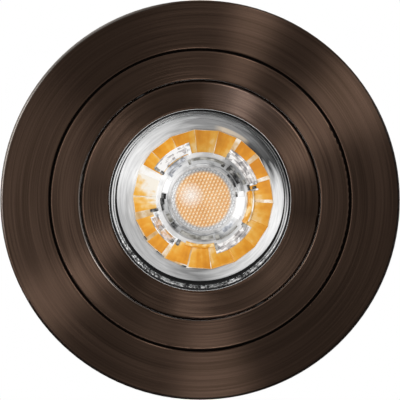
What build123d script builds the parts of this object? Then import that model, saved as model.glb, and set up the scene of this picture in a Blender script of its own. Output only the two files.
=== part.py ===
"""Recessed ceiling spotlight with a twist-out insert, a tilting lamp ring and sprung ceiling clips.

Millimetres. +Z points up into the ceiling and the light shines down. The origin is the centre of
the trim flange's rear face, which lies against the ceiling. The tilt axis runs along X.
"""
from build123d import *
import math
import os

# Lamp, a reflector lamp with a 50 mm rim
LAMP_D = 50.0
LAMP_RIM_H = 4.4
LAMP_STEP = 1.1
GLASS_WALL = 1.5
BOWL_H = 28.6
BOWL_BULGE = 2.6
NECK_R = 12.4
NECK_H = 3.0
LENS_RIM = 2.9
LENS_FIT = 0.15
LENS_RECESS = 0.4
LENS_FLANGE_T = 1.6
LENS_BODY_STEP = 3.5
LENS_BODY_H = 10.6
LENS_REAR_R = 9.0
LENS_FACETS = 18
LENS_FACET_FIRST_DEG = 3.0
LENS_WELL_R = 7.2
LENS_WELL_DEPTH = 1.6
LENS_COLLAR_W = 3.3
LENS_DISH_DEPTH = 1.0
LENS_RIB_GAP = 0.5
LENS_RIB_W = 4.2
LENS_RIB_SET_BACK = 0.2
LENS_RIB_DEG = 46.0
LENS_RIB_FIRST_DEG = -8.0
LENS_RIBS = 4
LENS_POCKET_R = 5.2
LENS_POCKET_DEPTH = 3.4
CHIP_R = 6.8
CHIP_T = 0.7
CHIP_GAP = 0.3
BOARD_R = 13.5
BOARD_T = 1.6
SINK_LIP = 1.0
SINK_PLATE_T = 1.5
SINK_TUBE_GAP = 0.5
SINK_TUBE_WALL = 1.4
DRIVER_W = 14.0
DRIVER_T = 1.2
DRIVER_TOP_GAP = 2.3
CAPACITOR_R = 3.0
CAPACITOR_H = 9.0
CHOKE_R = 2.6
CHOKE_FLANGE_R = 3.4
CHOKE_FLANGE_T = 1.0
CHOKE_H = 7.0
DRIVER_PART_START = 2.0
BASE_FIT = 0.2
BASE_WALL = 1.4
BASE_WEB_T = 1.8
BASE_H = 9.8
BASE_TOP_T = 1.8
BASE_TAPER = 1.2
PIN_SPACING = 10.0
CONTACT_NECK_R = 1.5
CONTACT_HEAD_R = 2.45
CONTACT_NECK_H = 4.0
CONTACT_HEAD_H = 2.8
CONTACT_ROOT = 2.2

# Lampholder
HOLDER_FIT = 0.35
HOLDER_MARGIN = 1.2
HOLDER_ENTRY_T = 3.0
HOLDER_SLOT_FIT = 0.45
HOLDER_TURN = 20.0
CONTACT_SPRING_T = 0.5
CONTACT_SPRING_GAP = 0.1
CONTACT_TAB_H = 3.2
HOLDER_TOP_CLEAR = 0.3
COVER_T = 4.0
COVER_EDGE = 1.2
INLET_R = 1.7
COVER_SCREW_R = 1.3
COVER_SCREW_HEAD_R = 2.4
COVER_SCREW_HEAD_T = 1.5
COVER_SCREW_DEPTH = 6.0
COVER_SCREW_INSET = 3.4
SCREW_FIT = 0.05
SLOT_W = 0.7
SLOT_DEPTH = 0.6

# Tilting ring that carries the lamp
LIP_OVERLAP = 1.1
LIP_T = 1.4
LIP_BEVEL = 0.5
LAMP_SEAT_GAP = 0.05
CUP_FIT = 0.4
CUP_WALL = 1.5
CUP_BEHIND_RIM = 4.0
TILT_FACE_T = 2.0
TILT_OVERHANG = 4.45
TILT_EDGE_ROUND = 0.5
PIVOT_DEPTH = 4.2
PIVOT_PIN_R = 1.1
PIVOT_FIT = 0.05
EAR_R = 2.6
EAR_FLAT = 0.15
EAR_HOLE_DEPTH = 2.8
NOTCH_W = 2.4
NOTCH_DEPTH = 0.5
NOTCH_DEG = -50.0
SNAP_WIRE_R = 0.7
SNAP_OUT = 0.2
SNAP_FIT = 0.1
SNAP_OPEN_DEG = 40.0
SNAP_BEND_R = 1.6
SNAP_LEG_H = 5.0
SNAP_MID_DEG = -90.0

# Twist-out insert
TILT_CLEARANCE = 0.3
MIDDLE_FACE_T = 2.0
MIDDLE_EDGE_ROUND = 0.4
BOSS_SET_BACK = 0.25
BOSS_H = 1.1
BOSS_R = 2.8
SKIRT_WALL = 1.8
SKIRT_H = 12.0
SHADE_LIP_T = 1.0
WASHER_T = 0.45
WASHER_R = 2.0
WASHER_GAP = 0.1
LUG_REACH = 1.6
LUG_H = 2.2
LUG_DEG = 14.0
LUG_BELOW_TOP = 2.3
LUG_COUNT = 3
LUG_FIRST_DEG = 30.0
UNLOCK_DEG = 20.0
TURN_CLEARANCE = 0.3
LUG_END_DEG = 0.6

# Trim ring
FLANGE_T = 3.0
FLANGE_FACE_W = 12.75
FLANGE_EDGE_ROUND = 0.6
FACE_GAP = 0.5
FACE_OVERLAP = 2.55
SEAT_PLAY = 0.1
SLEEVE_WALL = 1.8
SLEEVE_H = 18.0
PAD_T = 0.8
PAD_W = 18.0
PAD_BOTTOM = 3.5

# Sprung ceiling clips
SHEET_T = 1.0
CLIP_PIN_R = 1.25
CLIP_PIN_FIT = 0.05
CLIP_SIDE_GAP = 0.3
CLIP_PIN_HEAD_R = 2.2
CLIP_PIN_HEAD_T = 1.0
CLIP_EAR_R = 2.7
BRACKET_TOP_GAP = 4.0
BRACKET_ABOVE_PAD = 1.5
ARM_LENGTH = 20.5
FOOT_GAP = 2.3
ARM_EAR_H = 8.0
ARM_TOP = 2.0
FOOT_FLAT = 2.2
FOOT_BEND_R = 1.2
PAD_WALL = 0.7
PAD_ROUND = 0.6
FOOT_COVER = 1.8
SPRING_WIRE_R = 0.55
SPRING_R = 2.3
SPRING_PITCH = 1.6
SPRING_TURNS = 4
SPRING_SEAT = 0.25
SPRING_SIDE_GAP = 0.5
SPRING_FIXED_LEG = 9.0
SPRING_ARM_LEG = 12.0
BRACKET_SCREW_R = 1.1
BRACKET_SCREW_HEAD_R = 2.1
BRACKET_SCREW_HEAD_T = 1.4
BRACKET_SCREW_BITE = 2.0
BRACKET_SCREW_SPREAD = 4.0
BRACKET_SCREW_ABOVE = 4.5

# Radii, from the lamp outwards
LAMP_R = LAMP_D / 2
BOWL_R = LAMP_R - LAMP_STEP
LENS_R = LAMP_R - LENS_RIM
APERTURE_R = LAMP_R - LIP_OVERLAP
CUP_IN_R = LAMP_R + CUP_FIT
CUP_R = CUP_IN_R + CUP_WALL
TILT_R = CUP_R + TILT_OVERHANG
EAR_X = TILT_R - EAR_FLAT
BORE_R = TILT_R + TILT_CLEARANCE
BOSS_X = BORE_R + BOSS_SET_BACK
SKIRT_IN_R = BOSS_X + BOSS_H
SKIRT_R = SKIRT_IN_R + SKIRT_WALL
LUG_R = SKIRT_R + LUG_REACH
SLEEVE_IN_R = SKIRT_R + TURN_CLEARANCE
GROOVE_R = LUG_R + TURN_CLEARANCE
SLEEVE_R = GROOVE_R + SLEEVE_WALL
MIDDLE_R = GROOVE_R + FACE_OVERLAP
TRIM_BORE_R = MIDDLE_R + FACE_GAP
FLANGE_R = TRIM_BORE_R + FLANGE_FACE_W

# Heights of the rings, with the flange's rear face at 0
FACE_Z = -FLANGE_T
PIVOT_Z = FACE_Z + PIVOT_DEPTH
LIP_Z = FACE_Z + LIP_T
TILT_BACK_Z = FACE_Z + TILT_FACE_T
MIDDLE_BACK_Z = FACE_Z + MIDDLE_FACE_T
LEDGE_Z = MIDDLE_BACK_Z + SEAT_PLAY
SKIRT_TOP_Z = MIDDLE_BACK_Z + SKIRT_H
LUG_TOP_Z = SKIRT_TOP_Z - LUG_BELOW_TOP
LUG_Z = LUG_TOP_Z - LUG_H
SHADE_LIP_Z = SKIRT_TOP_Z - SHADE_LIP_T
SHADE_LIP_R = math.sqrt(BORE_R**2 - (SHADE_LIP_Z - PIVOT_Z) ** 2)

# Heights of the lamp and its holder
LAMP_Z = LIP_Z + LAMP_SEAT_GAP
LENS_Z = LAMP_Z + LENS_RECESS
LENS_BACK_Z = LENS_Z + LENS_FLANGE_T
LENS_REAR_Z = LENS_BACK_Z + LENS_BODY_H
CHIP_Z = LENS_REAR_Z + CHIP_GAP
BOARD_Z = CHIP_Z + CHIP_T
SINK_Z = BOARD_Z + BOARD_T
RIM_BACK_Z = LAMP_Z + LAMP_RIM_H
NECK_Z = RIM_BACK_Z + BOWL_H
NECK_TOP_Z = NECK_Z + NECK_H
BASE_WEB_Z = NECK_TOP_Z + BASE_FIT
BASE_TOP_Z = BASE_WEB_Z + BASE_H
BASE_INNER_TOP_Z = BASE_TOP_Z - BASE_TOP_T
HEAD_Z = BASE_TOP_Z + CONTACT_NECK_H
HEAD_TOP_Z = HEAD_Z + CONTACT_HEAD_H
HOLDER_Z = BASE_TOP_Z + HOLDER_FIT
ENTRY_TOP_Z = HOLDER_Z + HOLDER_ENTRY_T
CONTACT_Z = HEAD_TOP_Z + CONTACT_SPRING_GAP
HOLDER_TOP_Z = CONTACT_Z + CONTACT_TAB_H + HOLDER_TOP_CLEAR
COVER_TOP_Z = HOLDER_TOP_Z + COVER_T

# Radii of the lamp's rear end
BASE_IN_R = NECK_R + BASE_FIT
BASE_R = BASE_IN_R + BASE_WALL
SINK_TUBE_R = NECK_R - GLASS_WALL - SINK_TUBE_GAP
SINK_TUBE_IN_R = SINK_TUBE_R - SINK_TUBE_WALL
PIN_R = PIN_SPACING / 2
HEAD_SLOT_R = CONTACT_HEAD_R + HOLDER_SLOT_FIT
NECK_SLOT_R = CONTACT_NECK_R + HOLDER_SLOT_FIT
HOLDER_R = max(BASE_R, PIN_R + HEAD_SLOT_R) + HOLDER_MARGIN
COVER_SCREW_X = HOLDER_R - COVER_SCREW_INSET

# Snap ring, seated in a groove behind the lamp's rim
SNAP_R = LAMP_R + SNAP_OUT
SNAP_Z = RIM_BACK_Z + SNAP_WIRE_R + LAMP_SEAT_GAP
CUP_TOP_Z = RIM_BACK_Z + CUP_BEHIND_RIM

# Clip on the +X side, seen along Y
PAD_X = SLEEVE_R + PAD_T
BRACKET_X = PAD_X + SHEET_T
CLIP_X = BRACKET_X + SPRING_SEAT + SPRING_R + SPRING_WIRE_R
CLIP_Z = FOOT_GAP + PAD_WALL + SHEET_T / 2 + ARM_LENGTH
BRACKET_TOP_Z = CLIP_Z - BRACKET_TOP_GAP
BRACKET_Z = PAD_BOTTOM + BRACKET_ABOVE_PAD
BRACKET_SCREW_Z = BRACKET_Z + BRACKET_SCREW_ABOVE
STRIP_X = SPRING_R + SPRING_WIRE_R + SPRING_SEAT
STRIP_OUT_X = STRIP_X + SHEET_T
COIL_HALF = SPRING_PITCH * (SPRING_TURNS + 0.5) / 2
ARM_EAR_Y = COIL_HALF + SPRING_WIRE_R + SPRING_SIDE_GAP
ARM_HALF_W = ARM_EAR_Y + SHEET_T
BRACKET_EAR_Y = ARM_HALF_W + CLIP_SIDE_GAP
BRACKET_HALF_W = BRACKET_EAR_Y + SHEET_T

CUT = 1.0  # how far a cutting shape reaches past the face that it opens


def turned(points, rounds=None):
    """Solid of revolution about Z from an outline of (radius, height) points, some corners rounded."""
    rounds = rounds or {}
    radii = [rounds.get(i, 0) for i in range(len(points))]
    outline = FilletPolyline(*points, radius=radii, close=True)
    return revolve(Plane.XZ * make_face(outline), Axis.Z)


def disc(radius, low, high):
    """Upright cylinder about Z."""
    return Pos(0, 0, (low + high) / 2) * Cylinder(radius, high - low)


def tube(inner, outer, low, high):
    """Upright tube about Z."""
    return disc(outer, low, high) - disc(inner, low - CUT, high + CUT)


def wedge(inner, outer, low, high, first_deg, last_deg):
    """Part of a tube about Z, from one angle to another."""
    section = Plane.XZ * Pos((inner + outer) / 2, (low + high) / 2) * Rectangle(outer - inner, high - low)
    return Rot(0, 0, first_deg) * revolve(section, Axis.Z, revolution_arc=last_deg - first_deg)


def rod_x(radius, start, end, y, z):
    """Round bar along X."""
    return Pos((start + end) / 2, y, z) * Rot(0, 90, 0) * Cylinder(radius, end - start)


def rod_y(radius, start, end, x, z):
    """Round bar along Y."""
    return Pos(x, (start + end) / 2, z) * Rot(90, 0, 0) * Cylinder(radius, end - start)


def block(x, y, z):
    """Box from three (low, high) pairs."""
    centre = [(a + b) / 2 for a, b in (x, y, z)]
    size = [b - a for a, b in (x, y, z)]
    return Pos(*centre) * Box(*size)


def sheet_xz(outline, low, high):
    """Flat plate cut to an outline in X and Z, from one Y to another."""
    return Pos(0, high, 0) * extrude(Plane.XZ * outline, high - low)


def both_ends(shape):
    """A shape and its copy half a turn about Z away."""
    return [shape, Rot(0, 0, 180) * shape]


def trim_ring():
    """Outer flange and ceiling sleeve, with three bayonet grooves and two flat pads for the clips."""
    outline = [
        (TRIM_BORE_R, FACE_Z),
        (FLANGE_R, FACE_Z),
        (FLANGE_R, 0),
        (SLEEVE_R, 0),
        (SLEEVE_R, SLEEVE_H),
        (SLEEVE_IN_R, SLEEVE_H),
        (SLEEVE_IN_R, LEDGE_Z),
        (TRIM_BORE_R, LEDGE_Z),
    ]
    ring = turned(outline, {0: MIDDLE_EDGE_ROUND, 1: FLANGE_EDGE_ROUND})
    pad = block((SLEEVE_IN_R, PAD_X), (-PAD_W / 2, PAD_W / 2), (PAD_BOTTOM, SLEEVE_H))
    pad -= disc(SLEEVE_R - SLEEVE_WALL / 2, 0, SLEEVE_H + CUT)
    ring += both_ends(pad)
    for i in range(LUG_COUNT):
        locked = LUG_FIRST_DEG + i * 360 / LUG_COUNT
        last = locked + LUG_DEG / 2 + LUG_END_DEG
        entry = locked - UNLOCK_DEG
        first = entry - LUG_DEG / 2 - LUG_END_DEG
        entry_last = entry + LUG_DEG / 2 + LUG_END_DEG
        top = LUG_TOP_Z + TURN_CLEARANCE
        inner = SLEEVE_IN_R - CUT
        ring -= wedge(inner, GROOVE_R, LEDGE_Z - CUT, top, first, entry_last)
        ring -= wedge(inner, GROOVE_R, LUG_Z - TURN_CLEARANCE, top, first, last)
    for y in (-BRACKET_SCREW_SPREAD, BRACKET_SCREW_SPREAD):
        hole = rod_x(BRACKET_SCREW_R + SCREW_FIT, PAD_X - BRACKET_SCREW_BITE, PAD_X + CUT, y, BRACKET_SCREW_Z)
        ring -= both_ends(hole)
    return ring


def bayonet_ring():
    """Middle ring with its skirt, a lip that shades the gap, its lugs and the bosses of the tilt pivot."""
    outline = [
        (BORE_R, FACE_Z),
        (MIDDLE_R, FACE_Z),
        (MIDDLE_R, MIDDLE_BACK_Z),
        (SKIRT_R, MIDDLE_BACK_Z),
        (SKIRT_R, SKIRT_TOP_Z),
        (SHADE_LIP_R, SKIRT_TOP_Z),
        (SHADE_LIP_R, SHADE_LIP_Z),
        (SKIRT_IN_R, SHADE_LIP_Z),
        (SKIRT_IN_R, MIDDLE_BACK_Z),
        (BORE_R, MIDDLE_BACK_Z),
    ]
    ring = turned(outline, {0: MIDDLE_EDGE_ROUND, 1: MIDDLE_EDGE_ROUND})
    boss = rod_x(BOSS_R, BOSS_X, SKIRT_IN_R + SKIRT_WALL / 2, 0, PIVOT_Z)
    boss += block((BOSS_X, SKIRT_IN_R + SKIRT_WALL / 2), (-BOSS_R, BOSS_R), (MIDDLE_BACK_Z, PIVOT_Z))
    boss -= block((0, FLANGE_R), (-FLANGE_R, FLANGE_R), (FACE_Z - CUT, MIDDLE_BACK_Z))
    ring += both_ends(boss)
    for i in range(LUG_COUNT):
        locked = LUG_FIRST_DEG + i * 360 / LUG_COUNT
        ring += wedge(
            SKIRT_R - SKIRT_WALL / 2, LUG_R, LUG_Z, LUG_TOP_Z, locked - LUG_DEG / 2, locked + LUG_DEG / 2
        )
    hole = rod_x(PIVOT_PIN_R + PIVOT_FIT / 2, BOSS_X - CUT, SKIRT_R + CUT, 0, PIVOT_Z)
    return ring - both_ends(hole)


def pivot_pin():
    """Pin of the tilt pivot on the +X side, held in the boss and running in the tilt ring's ear."""
    tip = EAR_X - EAR_HOLE_DEPTH + WASHER_GAP
    return rod_x(PIVOT_PIN_R, tip, SKIRT_R - WASHER_GAP, 0, PIVOT_Z)


def friction_washers():
    """One washer on each pivot pin, between the boss and the ear."""
    start = BOSS_X - WASHER_GAP - WASHER_T
    end = BOSS_X - WASHER_GAP
    washer = rod_x(WASHER_R, start, end, 0, PIVOT_Z)
    washer -= rod_x(PIVOT_PIN_R + PIVOT_FIT, start - CUT, end + CUT, 0, PIVOT_Z)
    return Compound(both_ends(washer))


def tilt_ring():
    """Inner ring with a ball-shaped edge, the lamp's cup, two pivot ears and two edge notches."""
    outline = [
        (APERTURE_R, FACE_Z + LIP_BEVEL),
        (APERTURE_R + LIP_BEVEL, FACE_Z),
        (TILT_R, FACE_Z),
        (TILT_R, TILT_BACK_Z),
        (CUP_R, TILT_BACK_Z),
        (CUP_R, CUP_TOP_Z),
        (CUP_IN_R, CUP_TOP_Z),
        (CUP_IN_R, LIP_Z),
        (APERTURE_R, LIP_Z),
    ]
    ball = Pos(0, 0, PIVOT_Z) * Sphere(TILT_R)
    ring = turned(outline) & ball
    front = ring.edges().filter_by(GeomType.CIRCLE).group_by(Axis.Z)[0].sort_by(SortBy.RADIUS)[-1]
    ring = fillet(front, TILT_EDGE_ROUND)
    ear = rod_x(EAR_R, CUP_R - CUP_WALL / 2, EAR_X, 0, PIVOT_Z)
    ear -= rod_x(PIVOT_PIN_R + PIVOT_FIT, EAR_X - EAR_HOLE_DEPTH, EAR_X + CUT, 0, PIVOT_Z)
    ear -= disc(FLANGE_R, FACE_Z, TILT_BACK_Z)
    flat = block((EAR_X, TILT_R + CUT), (-EAR_R, EAR_R), (TILT_BACK_Z - CUT / 2, PIVOT_Z))
    ring = ring - both_ends(flat) + both_ends(ear)
    notch = block((TILT_R - NOTCH_DEPTH, TILT_R + CUT), (-NOTCH_W / 2, NOTCH_W / 2), (FACE_Z, TILT_BACK_Z))
    ring -= both_ends(Rot(0, 0, NOTCH_DEG) * notch)
    groove = SNAP_WIRE_R + SNAP_FIT
    ring -= tube(CUP_IN_R - CUT, SNAP_R + groove, SNAP_Z - groove, SNAP_Z + groove)
    half = SNAP_OPEN_DEG / 2 + math.degrees(2 * (SNAP_BEND_R + SNAP_WIRE_R) / SNAP_R)
    window = (SNAP_MID_DEG - half, SNAP_MID_DEG + half)
    ring -= wedge(CUP_IN_R - CUT, CUP_R + CUT, SNAP_Z - groove, CUP_TOP_Z + CUT, *window)
    return ring


def lamp_snap_ring():
    """Open wire ring behind the lamp's rim, with two upright ends to pinch."""
    def on_ring(degrees):
        angle = math.radians(degrees)
        along = Vector(-math.sin(angle), math.cos(angle), 0)
        return Vector(SNAP_R * math.cos(angle), SNAP_R * math.sin(angle), SNAP_Z), along

    sweep_deg = 360 - SNAP_OPEN_DEG
    first_deg = SNAP_MID_DEG + SNAP_OPEN_DEG / 2
    start, start_along = on_ring(first_deg)
    end, end_along = on_ring(first_deg + sweep_deg)
    up = Vector(0, 0, 1)
    low_start = start - start_along * SNAP_BEND_R + up * SNAP_BEND_R
    low_end = end + end_along * SNAP_BEND_R + up * SNAP_BEND_R
    top = low_start + up * SNAP_LEG_H
    path = Wire([
        Line(top, low_start),
        TangentArc(low_start, start, tangent=-up),
        CenterArc((0, 0, SNAP_Z), SNAP_R, first_deg, sweep_deg),
        TangentArc(end, low_end, tangent=end_along),
        Line(low_end, low_end + up * SNAP_LEG_H),
    ])
    return sweep(Plane(top, z_dir=-up) * Circle(SNAP_WIRE_R), path=path)


def bowl_outline(rim_r, rim_z, neck_r, neck_z):
    """Curved flank of the lamp's bowl, from its rim to its neck."""
    return SagittaArc((rim_r, rim_z), (neck_r, neck_z), -BOWL_BULGE)


def lamp_glass():
    """Glass bowl of the lamp: a rim with the lens seat, a curved flank and a neck."""
    seat_r = LENS_R + LENS_FIT
    inner_r = BOWL_R - GLASS_WALL
    inner_neck_r = NECK_R - GLASS_WALL
    shelf_r = LENS_R - LENS_BODY_STEP / 2
    outline = [
        Polyline((seat_r, LAMP_Z), (LAMP_R, LAMP_Z), (LAMP_R, RIM_BACK_Z), (BOWL_R, RIM_BACK_Z)),
        bowl_outline(BOWL_R, RIM_BACK_Z, NECK_R, NECK_Z),
        Polyline((NECK_R, NECK_Z), (NECK_R, NECK_TOP_Z), (inner_neck_r, NECK_TOP_Z), (inner_neck_r, NECK_Z)),
        bowl_outline(inner_r, RIM_BACK_Z, inner_neck_r, NECK_Z),
        Polyline(
            (inner_r, RIM_BACK_Z), (shelf_r, RIM_BACK_Z), (shelf_r, LENS_BACK_Z),
            (seat_r, LENS_BACK_Z), (seat_r, LAMP_Z),
        ),
    ]
    return revolve(Plane.XZ * make_face(Curve() + outline), Axis.Z)


def lamp_lens():
    """Clear lens: a flange, a dished front with a collar and four ribs, and a faceted cone behind."""
    body_r = LENS_R - LENS_BODY_STEP
    collar_r = LENS_WELL_R + LENS_COLLAR_W
    dish_z = LENS_Z + LENS_DISH_DEPTH
    lens = disc(LENS_R, LENS_Z, LENS_BACK_Z)
    cone = loft([
        Pos(0, 0, LENS_BACK_Z) * RegularPolygon(body_r, LENS_FACETS),
        Pos(0, 0, LENS_REAR_Z) * RegularPolygon(LENS_REAR_R, LENS_FACETS),
    ], ruled=True)
    lens += Rot(0, 0, LENS_FACET_FIRST_DEG) * cone
    lens -= tube(collar_r, body_r, LENS_Z - CUT, dish_z)
    lens -= disc(LENS_WELL_R, LENS_Z - CUT, LENS_Z + LENS_WELL_DEPTH)
    lens -= disc(LENS_POCKET_R, LENS_REAR_Z - LENS_POCKET_DEPTH, LENS_REAR_Z + CUT)
    rib_in = collar_r + LENS_RIB_GAP
    for i in range(LENS_RIBS):
        first = LENS_RIB_FIRST_DEG + i * 360 / LENS_RIBS - LENS_RIB_DEG / 2
        rib_z = (LENS_Z + LENS_RIB_SET_BACK, dish_z + LENS_RIB_SET_BACK)
        lens += wedge(rib_in, rib_in + LENS_RIB_W, *rib_z, first, first + LENS_RIB_DEG)
    return lens


def lamp_heat_sink():
    """Plate behind the board and the tube that stands on the lamp's base."""
    plate_z = SINK_Z + SINK_PLATE_T
    plate = disc(BOARD_R + SINK_LIP, SINK_Z, plate_z)
    return plate + tube(SINK_TUBE_IN_R, SINK_TUBE_R, plate_z, BASE_WEB_Z)


def driver_sides():
    """Low and high end of the supply's parts on their board."""
    low = SINK_Z + SINK_PLATE_T + DRIVER_TOP_GAP
    return low, low + DRIVER_PART_START


def driver_board():
    """Upright circuit board inside the tube, standing in the lamp's base."""
    low, _ = driver_sides()
    top = BASE_INNER_TOP_Z - WASHER_GAP
    return block((-DRIVER_W / 2, DRIVER_W / 2), (-DRIVER_T / 2, DRIVER_T / 2), (low, top))


def driver_capacitor():
    """Round capacitor lying on the board."""
    _, low = driver_sides()
    return Pos(0, DRIVER_T / 2 + CAPACITOR_R, 0) * disc(CAPACITOR_R, low, low + CAPACITOR_H)


def driver_choke():
    """Drum core of the choke on the board's other side."""
    _, low = driver_sides()
    high = low + CHOKE_H
    drum = disc(CHOKE_R, low, high)
    drum += disc(CHOKE_FLANGE_R, low, low + CHOKE_FLANGE_T)
    drum += disc(CHOKE_FLANGE_R, high - CHOKE_FLANGE_T, high)
    return Pos(0, -DRIVER_T / 2 - CHOKE_FLANGE_R, 0) * drum


def lamp_base():
    """Insulating base: a collar round the neck, a web for the tube and a tapered cap."""
    web_top = BASE_WEB_Z + BASE_WEB_T
    web_in_r = SINK_TUBE_IN_R - BASE_FIT
    return turned([
        (BASE_IN_R, NECK_Z + BASE_FIT),
        (BASE_R, NECK_Z + BASE_FIT),
        (BASE_R, web_top),
        (BASE_R - BASE_TAPER, BASE_TOP_Z),
        (0, BASE_TOP_Z),
        (0, BASE_INNER_TOP_Z),
        (web_in_r, BASE_INNER_TOP_Z),
        (web_in_r, BASE_WEB_Z),
        (BASE_IN_R, BASE_WEB_Z),
    ]) - both_pins(CONTACT_NECK_R + SCREW_FIT, BASE_INNER_TOP_Z - CUT, BASE_TOP_Z + CUT)


def both_pins(radius, low, high):
    """Two upright cylinders at the places of the contact pins."""
    return [Pos(0, y, 0) * disc(radius, low, high) for y in (-PIN_R, PIN_R)]


def lamp_contact_pins():
    """Two twist-lock contact pins with wide heads."""
    necks = both_pins(CONTACT_NECK_R, BASE_INNER_TOP_Z - CONTACT_ROOT, HEAD_TOP_Z)
    heads = both_pins(CONTACT_HEAD_R, HEAD_Z, HEAD_TOP_Z)
    return Compound([neck + head for neck, head in zip(necks, heads)])


def pin_path(half_width, low, high):
    """Space that one pin needs in the holder between its entry and its locked place."""
    first = 90 - HOLDER_TURN
    slot = wedge(PIN_R - half_width, PIN_R + half_width, low, high, first, 90)
    for degrees in (first, 90):
        slot += Rot(0, 0, degrees) * Pos(PIN_R, 0, 0) * disc(half_width, low, high)
    return slot


def holder_body():
    """Ceramic body of the lampholder with its two keyhole slots."""
    body = disc(HOLDER_R, HOLDER_Z, HOLDER_TOP_Z)
    entry = Rot(0, 0, 90 - HOLDER_TURN) * Pos(PIN_R, 0, 0) * disc(HEAD_SLOT_R, HOLDER_Z - CUT, ENTRY_TOP_Z)
    body -= both_ends(entry)
    body -= both_ends(pin_path(NECK_SLOT_R, HOLDER_Z - CUT, ENTRY_TOP_Z + CUT))
    body -= both_ends(pin_path(HEAD_SLOT_R, ENTRY_TOP_Z, HOLDER_TOP_Z + CUT))
    hole = Pos(COVER_SCREW_X, 0, 0) * disc(
        COVER_SCREW_R + SCREW_FIT, HOLDER_TOP_Z - COVER_SCREW_DEPTH, HOLDER_TOP_Z + CUT
    )
    return body - both_ends(hole)


def holder_contacts():
    """Two contact springs: a leaf over each pin's head and a tab up the wall of its slot."""
    wall_r = PIN_R + HEAD_SLOT_R - SCREW_FIT
    leaf_in = PIN_R - CONTACT_NECK_R
    leaf_top = CONTACT_Z + CONTACT_SPRING_T
    sides = (90 - HOLDER_TURN, 90)
    contact = wedge(leaf_in, wall_r, CONTACT_Z, leaf_top, *sides)
    contact += wedge(wall_r - CONTACT_SPRING_T, wall_r, CONTACT_Z, CONTACT_Z + CONTACT_TAB_H, *sides)
    return Compound(both_ends(contact))


def holder_cover():
    """Cap of the lampholder with two lead inlets and two counterbored screw holes."""
    outline = [(0, HOLDER_TOP_Z), (HOLDER_R, HOLDER_TOP_Z), (HOLDER_R, COVER_TOP_Z), (0, COVER_TOP_Z)]
    cover = turned(outline, {2: COVER_EDGE})
    cover -= both_pins(INLET_R, HOLDER_TOP_Z - CUT, COVER_TOP_Z + CUT)
    hole = disc(COVER_SCREW_R + SCREW_FIT, HOLDER_TOP_Z - CUT, COVER_TOP_Z + CUT)
    seat_z = COVER_TOP_Z - COVER_SCREW_HEAD_T
    hole += disc(COVER_SCREW_HEAD_R + SCREW_FIT, seat_z, COVER_TOP_Z + CUT)
    return cover - both_ends(Pos(COVER_SCREW_X, 0, 0) * hole)


def holder_screws():
    """Two slotted screws that hold the cover."""
    seat_z = COVER_TOP_Z - COVER_SCREW_HEAD_T
    screw = disc(COVER_SCREW_R, HOLDER_TOP_Z - COVER_SCREW_DEPTH + SCREW_FIT, COVER_TOP_Z)
    screw += disc(COVER_SCREW_HEAD_R, seat_z, COVER_TOP_Z)
    head = COVER_SCREW_HEAD_R + CUT
    screw -= block((-head, head), (-SLOT_W / 2, SLOT_W / 2), (COVER_TOP_Z - SLOT_DEPTH, COVER_TOP_Z + CUT))
    return Compound(both_ends(Pos(COVER_SCREW_X, 0, 0) * screw))


def clip_bracket():
    """Bent sheet bracket of the +X clip: a base on the sleeve's pad and two ears for the pin."""
    base = block((PAD_X, BRACKET_X), (-BRACKET_HALF_W, BRACKET_HALF_W), (BRACKET_Z, BRACKET_TOP_Z))
    for y in (-BRACKET_SCREW_SPREAD, BRACKET_SCREW_SPREAD):
        base -= rod_x(BRACKET_SCREW_R + SCREW_FIT, PAD_X - CUT, BRACKET_X + CUT, y, BRACKET_SCREW_Z)
    eye = Pos(CLIP_X, CLIP_Z) * Circle(CLIP_EAR_R)
    root_z = (BRACKET_Z + BRACKET_TOP_Z) / 2
    root = Pos((PAD_X + BRACKET_X) / 2, (root_z + BRACKET_TOP_Z) / 2) * Rectangle(
        SHEET_T, BRACKET_TOP_Z - root_z
    )
    outline = make_hull(eye.edges() + root.edges())
    outline -= Pos(CLIP_X, CLIP_Z) * Circle(CLIP_PIN_R + CLIP_PIN_FIT / 2)
    near = sheet_xz(outline, -BRACKET_HALF_W, -BRACKET_EAR_Y)
    far = sheet_xz(outline, BRACKET_EAR_Y, BRACKET_HALF_W)
    return base + near + far


def clip_pin():
    """Hinge pin of the +X clip, with a head at each end."""
    end = BRACKET_HALF_W + CLIP_PIN_HEAD_T
    pin = rod_y(CLIP_PIN_R, -end, end, CLIP_X, CLIP_Z)
    pin += rod_y(CLIP_PIN_HEAD_R, -end, -BRACKET_HALF_W, CLIP_X, CLIP_Z)
    return pin + rod_y(CLIP_PIN_HEAD_R, BRACKET_HALF_W, end, CLIP_X, CLIP_Z)


def arm_strip(low_x, high_x, half_width, foot_end):
    """Strip of the arm with its foot bent outwards, in the clip's own place."""
    middle = (low_x + high_x) / 2
    bend = FOOT_BEND_R + (high_x - middle)
    foot_z = -ARM_LENGTH
    line = FilletPolyline((middle, ARM_TOP), (middle, foot_z), (middle + foot_end, foot_z), radius=bend)
    section = Plane((middle, 0, ARM_TOP), x_dir=(0, 1, 0), z_dir=(0, 0, -1)) * Rectangle(
        2 * half_width, high_x - low_x
    )
    path = Wire([Plane.XZ * edge for edge in line.edges()])
    return Pos(CLIP_X, 0, CLIP_Z) * sweep(section, path=path)


def foot_reach():
    """Length of the foot from the middle of the strip."""
    return FOOT_BEND_R + SHEET_T / 2 + FOOT_FLAT


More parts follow.
